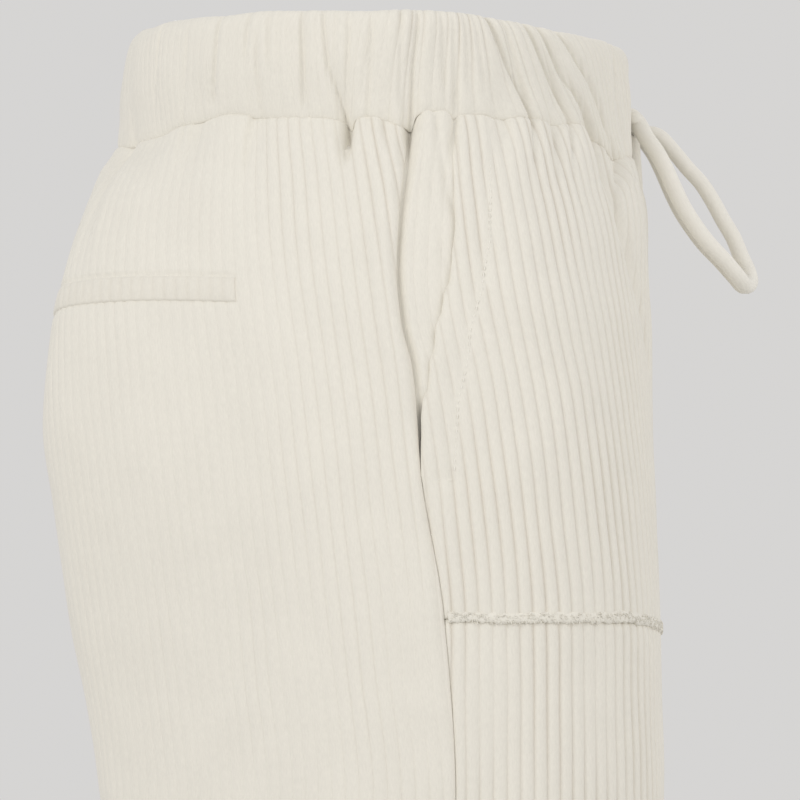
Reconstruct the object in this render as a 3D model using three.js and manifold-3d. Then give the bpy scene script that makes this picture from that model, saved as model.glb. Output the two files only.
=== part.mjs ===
// Pull-on corduroy trousers, filled out as if worn, with a gathered elastic waistband,
// a drawstring tied in a bow, slant front pockets, back welt pockets and a raw seam across each thigh.
// Units are millimetres. The origin is the centre of the waistband at half its height,
// the front faces -Y, the wearer's left is +X and +Z is up.
import * as THREE from 'three';
import Module from 'manifold-3d';
import { mergeVertices } from 'three/addons/utils/BufferGeometryUtils.js';

const wasm = await Module();
wasm.setup();

// Driving sizes of the garment. A depth is measured down from the top edge of the band.
const BAND_HEIGHT = 44;
const CROTCH_DEPTH = 300;
const OUTSEAM = 1020;
const THIGH_SEAM_DEPTH = 244;
const POCKET_END_DEPTH = 188;
const SEAM_GAP = 0.3;

// Corduroy: wall under the grooves, rise of a wale over them, and width of one wale.
const CLOTH = 1.6;
const WALE_HEIGHT = 1.1;
const WALE_PITCH = 5.5;
const EDGE_FADE = 1.5;

// Sections of one half of the garment, from the front centre round the side to the back centre.
// outer and inner are distances from the middle plane, front and back are reaches from the side line,
// the peaks are where those reaches lie, and the last two say how square each quarter is.
const SECTION_COLUMNS = [
  'depth', 'outer', 'inner', 'front', 'frontPeak', 'back', 'backPeak', 'frontPower', 'backPower',
];
const SECTIONS = [
  [0, 129.5, -129, 101.5, 2, 101, 2, 1.8, 2.1],
  [22, 130.5, -130, 104, 2, 104, 2, 1.8, 2.1],
  [44, 131, -131, 106.5, 4, 106.5, 6, 1.9, 2],
  [56, 138, -138, 108.4, 7, 111.5, 32, 2.1, 1.8],
  [72, 146, -144, 109.3, 9, 117.2, 56, 2.4, 1.7],
  [95, 156, -142, 109.2, 11, 124.8, 70, 2.7, 1.6],
  [125, 165, -134, 110, 20, 131.3, 77, 3, 1.6],
  [160, 171, -118, 110.3, 42, 134.3, 80, 3, 1.6],
  [195, 175, -86, 111.3, 66, 129.6, 83, 2.8, 1.6],
  [244, 177, -38, 112.7, 83, 122.3, 85, 2.6, 1.5],
  [278, 177, -11, 113.4, 85, 115.3, 86, 2.6, 1.5],
  [300, 176, 0.15, 114, 87, 111.8, 87, 2.6, 1.5],
  [400, 173, 13, 112, 92, 101, 92, 2.5, 1.6],
  [620, 172, 21, 106, 96, 93, 96, 2.4, 1.8],
  [1020, 174, 23, 102, 98, 90, 98, 2.3, 2],
].map((values) => Object.fromEntries(values.map((value, i) => [SECTION_COLUMNS[i], value])));
const INNER_POWER = 2.2;
// The waist sits a little lower at the front: rise at the back and the front, the reaches between which
// it changes, and the depth where it has faded out.
const WAIST_TILT = { back: 1.7, front: -3.2, from: 20, to: 90, fade: 150 };

// Lines that run down the cloth, each by its forward reach from the side line.
const SIDE_SEAM = [
  { depth: 44, reach: 13 },
  { depth: 97, reach: 9 },
  { depth: 130, reach: 12 },
  { depth: 185, reach: 17 },
  { depth: 244, reach: 26.5 },
  { depth: 315, reach: 31 },
  { depth: 620, reach: 16 },
  { depth: 1020, reach: 8 },
];
const POCKET_EDGE = [
  { depth: 44, reach: 31 },
  { depth: 95, reach: 30.5 },
  { depth: 131, reach: 23 },
  { depth: 160, reach: 19.3 },
  { depth: 188, reach: 17.3 },
];
const FRONT_GRAIN = [
  { depth: 44, reach: 38.8 },
  { depth: 76, reach: 43.7 },
  { depth: 117, reach: 49.9 },
  { depth: 157, reach: 57.3 },
  { depth: 197, reach: 62.8 },
  { depth: 244, reach: 66.5 },
  { depth: 315, reach: 67 },
  { depth: 620, reach: 58 },
  { depth: 1020, reach: 52 },
];
const BACK_GRAIN = [
  { depth: 44, reach: -31 },
  { depth: 97, reach: -26 },
  { depth: 157, reach: -18.4 },
  { depth: 205, reach: -12.7 },
  { depth: 260, reach: -7 },
  { depth: 315, reach: -1.5 },
  { depth: 620, reach: -15 },
  { depth: 1020, reach: -22 },
];
// Share of its flat width that the gathered cloth takes up.
const GATHER = [
  { depth: 44, share: 0.88 },
  { depth: 95, share: 0.98 },
  { depth: 150, share: 1 },
];

// Rows of cloth sections, as depths.
const UPPER_ROWS = [BAND_HEIGHT, 58, 80, 115, 160, 200, THIGH_SEAM_DEPTH];
const LOWER_ROWS = [THIGH_SEAM_DEPTH, 280, CROTCH_DEPTH, 420, OUTSEAM];
const FACING_ROWS = [BAND_HEIGHT, 58, 80, 115, 160, 200, 206];

// Long folds: place is the distance along the cloth from the side seam, forward positive,
// at the top and the bottom of the fold. rise is negative for a trough.
const FOLDS = [
  { top: 46, bottom: 160, placeTop: 97, placeBottom: 166, width: 13, rise: -4.5 },
  { top: 44, bottom: 66, placeTop: -26, placeBottom: -23, width: 7, rise: -2 },
  { top: 44, bottom: 110, placeTop: -152, placeBottom: -149, width: 12, rise: -2.4 },
  { top: 48, bottom: 196, placeTop: -5, placeBottom: -4, width: 9, rise: 2.2 },
  { top: 330, bottom: 1020, placeTop: 84, placeBottom: 74, width: 46, rise: -3.5 },
  { top: 400, bottom: 1020, placeTop: -70, placeBottom: -62, width: 44, rise: -4 },
  { top: 560, bottom: 1020, placeTop: 6, placeBottom: 10, width: 50, rise: 2.5 },
];
// The front centre is drawn in behind the hanging ends of the string.
const CENTRE_VALLEY = { top: 0, full: 50, ease: 165, bottom: 225, width: 28, depth: 10 };

// Waistband: rows of its outer side, as depth and inset from the section.
const BAND_ROWS = [
  { depth: BAND_HEIGHT, inset: 1.2 },
  { depth: 34, inset: 0 },
  { depth: 3, inset: 0.8 },
  { depth: 0, inset: 3.1 },
];
const BAND_INSIDE = [
  { depth: 0, inset: 4.2 },
  { depth: 2.5, inset: 6 },
  { depth: BAND_HEIGHT, inset: 6 },
];
const BAND_WALES = 146;
const BAND_INSIDE_COLUMNS = 64;
// Where the band's wales meet its top and bottom edges, by forward reach: they lean where the string pulls.
const BAND_LEAN = [
  { top: 95, bottom: 101 },
  { top: 86, bottom: 97 },
  { top: 74, bottom: 90 },
  { top: 63, bottom: 78 },
  { top: 47, bottom: 59 },
  { top: 36, bottom: 36 },
  { top: 17, bottom: 13 },
  { top: -1, bottom: -9 },
  { top: -22, bottom: -19 },
  { top: -66, bottom: -67 },
];
// Gathers pressed into the band, by forward reach at its top.
const GATHERS = [
  { reach: 84, rise: -2 },
  { reach: 74, rise: -2.2 },
  { reach: 63, rise: -2.4 },
  { reach: 47, rise: -2.2 },
  { reach: 36, rise: -1.6 },
  { reach: 17, rise: -2.4 },
  { reach: -1, rise: -2.2 },
  { reach: -22, rise: -1.5 },
  { reach: -44, rise: -1.2 },
  { reach: -66, rise: -1.8 },
  { reach: -86, rise: -1.2 },
];
const GATHER_WIDTH = 5;

// Back welt pocket, along the cloth from the side seam.
const WELT = { start: -66, length: 128, top: 107, bottom: 120, tilt: -4, lift: 1.7, cloth: 1.3, wale: 0.6 };
// Raw edge that stands out along the thigh seam.
const RAW_EDGE = { top: 241.5, bottom: 246, lift: 1.7, cloth: 2.2, step: 7 };
// Pocket facing: how far it lies in under the panels, and its rise where it shows.
const FACING = { inset: 3.4, underFront: 15, underBack: 5, rise: 1.6, pitch: 8.2, cloth: 1.4 };

// Drawstring.
const CORD_WIDTH = 6.5;
const CORD_SIDES = 8;
const KNOT = { reach: 104, height: -13, width: 17, depth: 9, tall: 13 };
// Points of the right loop and the right end: side is away from the middle plane, reach is forward.
const LOOP_ROUTE = [
  { side: 9, reach: 105.5, height: -10.4 },
  { side: 12, reach: 107.4, height: -13.4 },
  { side: 16, reach: 109.5, height: -18 },
  { side: 22, reach: 114, height: -25 },
  { side: 26, reach: 117.4, height: -32 },
  { side: 29, reach: 120.8, height: -40 },
  { side: 31, reach: 124.8, height: -48.4 },
  { side: 32, reach: 129.6, height: -56 },
  { side: 32, reach: 134.9, height: -63 },
  { side: 30, reach: 141.2, height: -69.5 },
  { side: 26, reach: 147, height: -76 },
  { side: 20, reach: 150.3, height: -79.3 },
  { side: 14, reach: 152.3, height: -77.4 },
  { side: 9.5, reach: 151.6, height: -72.6 },
  { side: 7, reach: 149.2, height: -67 },
  { side: 6, reach: 146, height: -59 },
  { side: 6, reach: 141.4, height: -51 },
  { side: 6, reach: 137.4, height: -43.6 },
  { side: 6, reach: 132.7, height: -36.2 },
  { side: 5.8, reach: 126.9, height: -29.8 },
  { side: 5.5, reach: 121.2, height: -22.8 },
  { side: 5, reach: 115, height: -16.4 },
  { side: 4.4, reach: 110, height: -15.2 },
  { side: 3.2, reach: 105.5, height: -14.4 },
];
const END_ROUTE = [
  { side: 4, reach: 103.8, height: -18.6 },
  { side: 4.3, reach: 104.8, height: -32 },
  { side: 4.2, reach: 105.8, height: -48 },
  { side: 4.2, reach: 106.8, height: -64 },
  { side: 3.8, reach: 108, height: -88 },
  { side: 4.4, reach: 108.8, height: -112 },
  { side: 5.2, reach: 109.4, height: -137 },
];
const LEFT_LOOP_LIFT = 0.14;
const LEFT_END_LENGTH = 0.93;

const heightOf = (depth) => BAND_HEIGHT / 2 - depth;
const clamp = (value, low, high) => Math.min(Math.max(value, low), high);
const smoothStep = (from, to, value) => {
  const t = clamp((value - from) / (to - from), 0, 1);
  return t * t * (3 - 2 * t);
};

// Reads one column of a table at a depth, on a curve that never overshoots its rows.
function readTable(table, column, depth) {
  const last = table.length - 1;
  if (depth <= table[0].depth) return table[0][column];
  if (depth >= table[last].depth) return table[last][column];
  const i = table.findIndex((row) => row.depth > depth) - 1;
  const rate = (j) => (table[j + 1][column] - table[j][column]) / (table[j + 1].depth - table[j].depth);
  const slope = (j) => {
    if (j === 0) return rate(0);
    if (j === last) return rate(last - 1);
    const before = rate(j - 1);
    const after = rate(j);
    return before * after <= 0 ? 0 : (2 * before * after) / (before + after);
  };
  const span = table[i + 1].depth - table[i].depth;
  const t = (depth - table[i].depth) / span;
  const fromStart = (1 + 2 * t) * (1 - t) ** 2 * table[i][column] + t * (1 - t) ** 2 * span * slope(i);
  const fromEnd = t * t * (3 - 2 * t) * table[i + 1][column] + t * t * (t - 1) * span * slope(i + 1);
  return fromStart + fromEnd;
}

const RING_SAMPLES = 480;

// One section as a line of points with the distance run along it and its outward normals.
function ringAt(depth, seamGap = SEAM_GAP) {
  const values = SECTION_COLUMNS.map((column) => [column, readTable(SECTIONS, column, depth)]);
  const row = Object.fromEntries(values);
  const seam = seamGap / 2;
  const cutAngle = (peak) => {
    if (row.inner >= seam) return Math.PI;
    return Math.acos(-(((peak - seam) / (peak - row.inner)) ** (INNER_POWER / 2)));
  };
  const start = cutAngle(row.frontPeak);
  const end = -cutAngle(row.backPeak);
  const points = [];
  for (let i = 0; i <= RING_SAMPLES; i += 1) {
    const angle = start + ((end - start) * i) / RING_SAMPLES;
    const c = Math.cos(angle);
    const s = Math.sin(angle);
    const peak = s >= 0 ? row.frontPeak : row.backPeak;
    const outerPower = s >= 0 ? row.frontPower : row.backPower;
    const power = c >= 0 ? outerPower : INNER_POWER;
    const halfWidth = c >= 0 ? row.outer - peak : peak - row.inner;
    points.push({
      side: peak + Math.sign(c) * halfWidth * Math.abs(c) ** (2 / power),
      reach: Math.sign(s) * (s >= 0 ? row.front : row.back) * Math.abs(s) ** (2 / power),
    });
  }
  const run = [0];
  for (let i = 1; i < points.length; i += 1) {
    const before = points[i - 1];
    run.push(run[i - 1] + Math.hypot(points[i].side - before.side, points[i].reach - before.reach));
  }
  const ring = { depth, points, run, length: run[RING_SAMPLES] };
  ring.sideSeam = runAtReach(ring, readTable(SIDE_SEAM, 'reach', depth));
  return ring;
}

// Distance along the ring where its outer side has the given forward reach.
function runAtReach(ring, reach) {
  const peak = ring.points.reduce((best, point, i) => (point.reach > ring.points[best].reach ? i : best), 0);
  let i = peak;
  while (ring.points[i + 1].reach > reach) i += 1;
  const before = ring.points[i].reach;
  const after = ring.points[i + 1].reach;
  return ring.run[i] + ((before - reach) / (before - after)) * (ring.run[i + 1] - ring.run[i]);
}

// Point of the ring at a run, moved out along the normal.
function pointOn(ring, run, lift) {
  const wanted = clamp(run, 0, ring.length);
  let low = 0;
  let high = RING_SAMPLES;
  while (high - low > 1) {
    const middle = (low + high) >> 1;
    if (ring.run[middle] <= wanted) low = middle;
    else high = middle;
  }
  const t = (wanted - ring.run[low]) / Math.max(ring.run[high] - ring.run[low], 1e-9);
  const a = ring.points[low];
  const b = ring.points[high];
  const before = ring.points[Math.max(low - 2, 0)];
  const after = ring.points[Math.min(high + 2, RING_SAMPLES)];
  const along = Math.hypot(after.side - before.side, after.reach - before.reach);
  const normalSide = -(after.reach - before.reach) / along;
  const normalReach = (after.side - before.side) / along;
  return {
    side: a.side + (b.side - a.side) * t + normalSide * lift,
    reach: a.reach + (b.reach - a.reach) * t + normalReach * lift,
  };
}

const hill = (distance, width) => {
  if (Math.abs(distance) >= width) return 0;
  return Math.cos((Math.PI * distance) / (2 * width)) ** 2;
};

// Rise of the tilted waist where the plain section has the given run.
function tiltRise(ring, run) {
  const { back, front, from, to, fade } = WAIST_TILT;
  const level = back + (front - back) * smoothStep(from, to, pointOn(ring, run, 0).reach);
  return level * (1 - smoothStep(BAND_HEIGHT, fade, ring.depth));
}

// Height of the folds over the plain section, the same on both faces of the cloth.
function foldRise(ring, run, hand) {
  const { depth } = ring;
  const place = ring.sideSeam - run;
  let rise = 0;
  for (const fold of FOLDS) {
    if (depth < fold.top || depth > fold.bottom) continue;
    const t = (depth - fold.top) / (fold.bottom - fold.top);
    const shift = hand.shift * Math.sign(fold.placeTop);
    const centre = fold.placeTop + (fold.placeBottom - fold.placeTop) * t + shift;
    const reachesHem = fold.bottom === OUTSEAM;
    const strength = reachesHem ? smoothStep(0, 0.4, t) : 1 - smoothStep(0.35, 1, t);
    rise += fold.rise * hand.strength * strength * hill(place - centre, fold.width);
  }
  const valley = CENTRE_VALLEY;
  const opened = smoothStep(valley.top, valley.full, depth);
  const closed = smoothStep(valley.ease, valley.bottom, depth);
  return rise - valley.depth * opened * (1 - closed) * hill(run, valley.width);
}

// Collects triangles, sharing every corner that falls on the same place.
class Shell {
  constructor(mirrored) {
    this.mirrored = mirrored;
    this.corners = [];
    this.triangles = [];
    this.known = new Map();
  }

  corner({ side, reach, height }) {
    const x = this.mirrored ? side : -side;
    const key = [x, -reach, height].map((value) => value.toFixed(3)).join(' ');
    if (!this.known.has(key)) {
      this.known.set(key, this.corners.length / 3);
      this.corners.push(x, -reach, height);
    }
    return this.known.get(key);
  }

  triangle(a, b, c) {
    if (a === b || b === c || c === a) return;
    if (this.mirrored) this.triangles.push(a, c, b);
    else this.triangles.push(a, b, c);
  }

  // Skins a grid of rows, facing out or in.
  skin(rows, facingOut) {
    for (let r = 0; r + 1 < rows.length; r += 1) {
      for (let k = 0; k + 1 < rows[r].length; k += 1) {
        const a = rows[r][k];
        const b = rows[r][k + 1];
        const c = rows[r + 1][k + 1];
        const d = rows[r + 1][k];
        if (facingOut) {
          this.triangle(a, b, c);
          this.triangle(a, c, d);
        } else {
          this.triangle(a, c, b);
          this.triangle(a, d, c);
        }
      }
    }
  }

  // Joins two lines of corners, each with its places along the edge.
  rim(outer, outerPlaces, inner, innerPlaces, top) {
    let i = 0;
    let j = 0;
    while (i + 1 < outer.length || j + 1 < inner.length) {
      const outerNext = i + 1 < outer.length ? outerPlaces[i] + outerPlaces[i + 1] : Infinity;
      const innerNext = j + 1 < inner.length ? innerPlaces[j] + innerPlaces[j + 1] : Infinity;
      if (outerNext <= innerNext) {
        if (top) this.triangle(outer[i + 1], outer[i], inner[j]);
        else this.triangle(outer[i], outer[i + 1], inner[j]);
        i += 1;
      } else {
        if (top) this.triangle(inner[j], inner[j + 1], outer[i]);
        else this.triangle(inner[j + 1], inner[j], outer[i]);
        j += 1;
      }
    }
  }

  // Closes the two ends of an open wall.
  ends(outer, inner) {
    for (let r = 0; r + 1 < outer.length; r += 1) {
      const lastOuter = outer[r].length - 1;
      const lastInner = inner[r].length - 1;
      this.triangle(outer[r][0], outer[r + 1][0], inner[r + 1][0]);
      this.triangle(outer[r][0], inner[r + 1][0], inner[r][0]);
      this.triangle(outer[r + 1][lastOuter], outer[r][lastOuter], inner[r][lastInner]);
      this.triangle(outer[r + 1][lastOuter], inner[r][lastInner], inner[r + 1][lastInner]);
    }
  }

  geometry() {
    const geometry = new THREE.BufferGeometry();
    geometry.setAttribute('position', new THREE.Float32BufferAttribute(this.corners, 3));
    geometry.setIndex(this.triangles);
    return geometry;
  }
}

const HANDS = {
  right: { mirrored: false, shift: 0, strength: 1 },
  left: { mirrored: true, shift: 5, strength: 0.85 },
};

// A panel of ribbed cloth. edges gives the runs of its two sides at a ring, grain the run its wales follow,
// base the lift of its plain surface and clearTop the gap left over its upper edge.
function clothPanel(spec) {
  const { rows, edges, grain, pitch, cloth, wale, base, hand, insideEvery, clearTop, clearBottom } = spec;
  const shell = new Shell(hand.mirrored);
  const rings = rows.map((depth) => ringAt(depth));
  const lines = rings.map((ring) => {
    const [start, end] = edges(ring);
    const half = (pitch * readTable(GATHER, 'share', ring.depth)) / 2;
    return { ring, start, end, grain: grain(ring), half };
  });
  const firstColumn = Math.min(...lines.map((line) => Math.floor((line.start - line.grain) / line.half)));
  const lastColumn = Math.max(...lines.map((line) => Math.ceil((line.end - line.grain) / line.half)));
  const columns = [];
  for (let k = firstColumn; k <= lastColumn; k += 1) columns.push(k);

  const runOf = (line, k) => clamp(line.grain + k * line.half, line.start, line.end);
  const insideColumns = columns.filter((k) => {
    if (k === firstColumn || k === lastColumn || k % insideEvery === 0) return true;
    return k % 2 === 0 && lines.some((line) => Math.abs(foldRise(line.ring, runOf(line, k), hand)) > 0.7);
  });
  const heightAt = (r) => {
    if (r === 0) return heightOf(rows[0]) - clearTop;
    if (r === rows.length - 1) return heightOf(rows[r]) + clearBottom;
    return heightOf(rows[r]);
  };
  const place = (line, r, k, lift) => {
    const run = runOf(line, k);
    const level = base(line, run) + foldRise(line.ring, run, hand);
    const point = pointOn(line.ring, run, level + lift(line, run));
    const clearOfMiddle = Math.max(point.side, SEAM_GAP / 2);
    const height = heightAt(r) + tiltRise(line.ring, run);
    return shell.corner({ side: clearOfMiddle, reach: point.reach, height });
  };
  const ribLift = (k) => (line, run) => {
    if (k % 2 === 0) return 0;
    const fromEdge = Math.min(run - line.start, line.end - run);
    return wale * clamp(fromEdge / EDGE_FADE, 0, 1);
  };
  const outer = lines.map((line, r) => columns.map((k) => place(line, r, k, ribLift(k))));
  const inner = lines.map((line, r) => insideColumns.map((k) => place(line, r, k, () => -cloth)));
  shell.skin(outer, true);
  shell.skin(inner, false);
  const last = rows.length - 1;
  shell.rim(outer[0], columns, inner[0], insideColumns, true);
  shell.rim(outer[last], columns, inner[last], insideColumns, false);
  shell.ends(outer, inner);
  return shell.geometry();
}

const flat = () => 0;
const sideGap = SEAM_GAP / 2;
const inseamGap = (ring) => (ring.depth >= CROTCH_DEPTH ? SEAM_GAP / 2 : 0);
const grainOf = (table) => (ring) => runAtReach(ring, readTable(table, 'reach', ring.depth));
const pocketEdgeRun = (ring) => runAtReach(ring, readTable(POCKET_EDGE, 'reach', ring.depth));
const frontEdgeRun = (ring) => (ring.depth < POCKET_END_DEPTH ? pocketEdgeRun(ring) : ring.sideSeam);

const SEAM_CLEAR = SEAM_GAP / 2;
const INSIDE_EVERY = 6;

function frontPanel(rows, hand) {
  return clothPanel({
    rows,
    edges: (ring) => [inseamGap(ring), frontEdgeRun(ring) - sideGap],
    grain: grainOf(FRONT_GRAIN),
    pitch: WALE_PITCH,
    cloth: CLOTH,
    wale: WALE_HEIGHT,
    base: flat,
    hand,
    insideEvery: INSIDE_EVERY,
    clearTop: SEAM_CLEAR,
    clearBottom: rows[rows.length - 1] === OUTSEAM ? 0 : SEAM_CLEAR,
  });
}

function backPanel(hand) {
  return clothPanel({
    rows: [...UPPER_ROWS, ...LOWER_ROWS.slice(1)],
    edges: (ring) => [ring.sideSeam + sideGap, ring.length - inseamGap(ring)],
    grain: grainOf(BACK_GRAIN),
    pitch: WALE_PITCH,
    cloth: CLOTH,
    wale: WALE_HEIGHT,
    base: flat,
    hand,
    insideEvery: INSIDE_EVERY,
    clearTop: SEAM_CLEAR,
    clearBottom: 0,
  });
}

// The side piece behind the slant pocket, which shows between the pocket edge and the side seam.
function pocketFacing(hand) {
  return clothPanel({
    rows: FACING_ROWS,
    edges: (ring) => [pocketEdgeRun(ring) - FACING.underFront, ring.sideSeam + FACING.underBack],
    grain: (ring) => ring.sideSeam - FACING.pitch / 2,
    pitch: FACING.pitch,
    cloth: FACING.cloth,
    wale: WALE_HEIGHT,
    base: ({ ring }, run) => {
      const showing = ring.sideSeam - pocketEdgeRun(ring);
      const across = showing > 2 ? clamp((ring.sideSeam - run) / showing, 0, 1) : 0;
      return FACING.rise * Math.sin(Math.PI * across) - FACING.inset;
    },
    hand,
    insideEvery: 2,
    clearTop: SEAM_CLEAR,
    clearBottom: 0,
  });
}

// A strip that lies on a panel: its underside clears the wales, and its outer side has its own.
function stripOnPanel({ depths, edges, step, lift, cloth, wale, tilt, hand }) {
  const shell = new Shell(hand.mirrored);
  const middle = ringAt((depths[0] + depths[1]) / 2);
  const [start, end] = edges(middle);
  const count = Math.round((end - start) / step);
  const columns = Array.from({ length: count + 1 }, (_, k) => k);
  const place = (row, k, rise) => {
    const t = k / count;
    const depth = depths[row] + tilt * t;
    const ring = ringAt(depth);
    const [from, to] = edges(ring);
    const run = from + (to - from) * t;
    const point = pointOn(ring, run, foldRise(ring, run, hand) + rise);
    const height = heightOf(depth) + tiltRise(ring, run);
    return shell.corner({ side: Math.max(point.side, SEAM_GAP / 2), reach: point.reach, height });
  };
  const ribbed = (k) => (k % 2 === 1 ? wale : 0);
  const outer = [0, 1].map((row) => columns.map((k) => place(row, k, lift + cloth + ribbed(k))));
  const inner = [0, 1].map((row) => columns.map((k) => place(row, k, lift)));
  shell.skin(outer, true);
  shell.skin(inner, false);
  shell.rim(outer[0], columns, inner[0], columns, true);
  shell.rim(outer[1], columns, inner[1], columns, false);
  shell.ends(outer, inner);
  return shell.geometry();
}

function backWelt(hand) {
  return stripOnPanel({
    depths: [WELT.top, WELT.bottom],
    edges: (ring) => [ring.sideSeam - WELT.start, ring.sideSeam - WELT.start + WELT.length],
    step: WALE_PITCH,
    lift: WELT.lift,
    cloth: WELT.cloth,
    wale: WELT.wale,
    tilt: WELT.tilt,
    hand,
  });
}

function thighRawEdge(hand) {
  return stripOnPanel({
    depths: [RAW_EDGE.top, RAW_EDGE.bottom],
    edges: (ring) => [RAW_EDGE.lift * 2, ring.sideSeam - 1],
    step: RAW_EDGE.step,
    lift: RAW_EDGE.lift,
    cloth: RAW_EDGE.cloth,
    wale: 0.5,
    tilt: 0,
    hand,
  });
}

// The elastic waistband, one closed ring of ribbed cloth pressed into gathers.
function waistband() {
  const shell = new Shell(false);
  const top = ringAt(0, 0);
  const bottom = ringAt(BAND_HEIGHT, 0);
  const shareOf = (ring, reach) => runAtReach(ring, reach) / ring.length;
  const lean = BAND_LEAN.map((row) => ({ top: shareOf(top, row.top), bottom: shareOf(bottom, row.bottom) }));
  lean.unshift({ top: 0, bottom: 0 });
  lean.push({ top: 1, bottom: 1 });
  const shareBelow = (share) => {
    const i = lean.findIndex((row) => row.top >= share);
    if (i <= 0) return share;
    const t = (share - lean[i - 1].top) / (lean[i].top - lean[i - 1].top);
    return lean[i - 1].bottom + (lean[i].bottom - lean[i - 1].bottom) * t;
  };
  const gathers = GATHERS.map((gather) => ({ run: runAtReach(top, gather.reach), rise: gather.rise }));
  const pointAt = (ring, turn, lift) => {
    const mirrored = turn > 0.5;
    const share = (mirrored ? 1 - turn : turn) * 2;
    const hand = mirrored ? HANDS.left : HANDS.right;
    const fromTop = ring.depth / BAND_HEIGHT;
    const run = (share + (shareBelow(share) - share) * fromTop) * ring.length;
    let rise = foldRise(ring, run, hand);
    for (const gather of gathers) {
      const distance = share * top.length - gather.run + hand.shift / 2;
      rise += gather.rise * hand.strength * hill(distance, GATHER_WIDTH);
    }
    const point = pointOn(ring, run, rise + lift);
    return { side: mirrored ? -point.side : point.side, reach: point.reach, rise: tiltRise(ring, run) };
  };
  const ringRow = ({ depth, inset }, count, ribRise) => {
    const ring = ringAt(depth, 0);
    const clear = depth === BAND_HEIGHT ? SEAM_CLEAR : 0;
    const row = [];
    for (let k = 0; k < count; k += 1) {
      const point = pointAt(ring, k / count, ribRise(k) - inset);
      row.push(shell.corner({ ...point, height: heightOf(depth) + clear + point.rise }));
    }
    row.push(row[0]);
    return row;
  };
  const outsideCount = BAND_WALES * 2;
  const ribbed = (k) => (k % 2 === 1 ? WALE_HEIGHT : 0);
  const outer = BAND_ROWS.map((row) => ringRow(row, outsideCount, ribbed)).reverse();
  const inner = BAND_INSIDE.map((row) => ringRow(row, BAND_INSIDE_COLUMNS, flat));
  shell.skin(outer, true);
  shell.skin(inner, false);
  const places = (count) => Array.from({ length: count + 1 }, (_, k) => k / count);
  const outerPlaces = places(outsideCount);
  const innerPlaces = places(BAND_INSIDE_COLUMNS);
  shell.rim(outer[0], outerPlaces, inner[0], innerPlaces, true);
  shell.rim(outer[outer.length - 1], outerPlaces, inner[inner.length - 1], innerPlaces, false);
  return shell.geometry();
}

const at = ({ side, reach, height }, mirrored) => new THREE.Vector3(mirrored ? side : -side, -reach, height);

function cordTube(points, steps) {
  const round = new THREE.Shape();
  for (let i = 0; i < CORD_SIDES; i += 1) {
    const angle = (2 * Math.PI * i) / CORD_SIDES;
    const x = (CORD_WIDTH / 2) * Math.cos(angle);
    const y = (CORD_WIDTH / 2) * Math.sin(angle);
    if (i === 0) round.moveTo(x, y);
    else round.lineTo(x, y);
  }
  round.closePath();
  return new THREE.ExtrudeGeometry(round, {
    steps,
    bevelEnabled: false,
    extrudePath: new THREE.CatmullRomCurve3(points, false, 'centripetal'),
  });
}

function solidOf(geometry) {
  const plain = geometry.clone();
  plain.deleteAttribute('normal');
  plain.deleteAttribute('uv');
  const merged = mergeVertices(plain, 1e-4);
  return new wasm.Manifold(new wasm.Mesh({
    numProp: 3,
    vertProperties: new Float32Array(merged.attributes.position.array),
    triVerts: new Uint32Array(merged.index.array),
  }));
}

function geometryOf(solid) {
  const mesh = solid.getMesh();
  const geometry = new THREE.BufferGeometry();
  geometry.setAttribute('position', new THREE.BufferAttribute(mesh.vertProperties, 3));
  geometry.setIndex(new THREE.BufferAttribute(mesh.triVerts, 1));
  return geometry;
}

// The knot of the bow, with the two short stretches of string that come out of the band into it.
const FEED = { side: 13, reach: 105.4, height: -10 };
function knotSolid() {
  const ball = new THREE.SphereGeometry(0.5, 12, 8);
  ball.scale(KNOT.width, KNOT.depth, KNOT.tall);
  ball.translate(0, -KNOT.reach, KNOT.height);
  let knot = solidOf(ball);
  for (const mirrored of [false, true]) {
    const middle = { side: FEED.side / 2, reach: KNOT.reach + 1, height: KNOT.height + 1 };
    const inside = { side: 1, reach: KNOT.reach, height: KNOT.height };
    const route = [FEED, middle, inside].map((point) => at(point, mirrored));
    knot = knot.add(solidOf(cordTube(route, 3)));
  }
  return knot;
}

function clearOfKnot(geometry, knot) {
  return geometryOf(solidOf(geometry).subtract(knot));
}

const cream = (color) => new THREE.MeshStandardMaterial({ color, roughness: 0.95, metalness: 0 });
const shellCream = cream(0xe4dfd2);
const bandCream = cream(0xe1dccf);
const stringCream = cream(0xdcd9d2);

const trousers = new THREE.Group();
function addPiece(name, geometry, material) {
  const mesh = new THREE.Mesh(geometry, material);
  mesh.name = name;
  trousers.add(mesh);
}

addPiece('waistband', waistband(), bandCream);
for (const [side, hand] of Object.entries(HANDS)) {
  addPiece(`front_upper_${side}`, frontPanel(UPPER_ROWS, hand), shellCream);
  addPiece(`front_lower_${side}`, frontPanel(LOWER_ROWS, hand), shellCream);
  addPiece(`back_${side}`, backPanel(hand), shellCream);
  addPiece(`pocket_facing_${side}`, pocketFacing(hand), shellCream);
  addPiece(`back_welt_${side}`, backWelt(hand), shellCream);
  addPiece(`thigh_raw_edge_${side}`, thighRawEdge(hand), shellCream);
}

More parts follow.
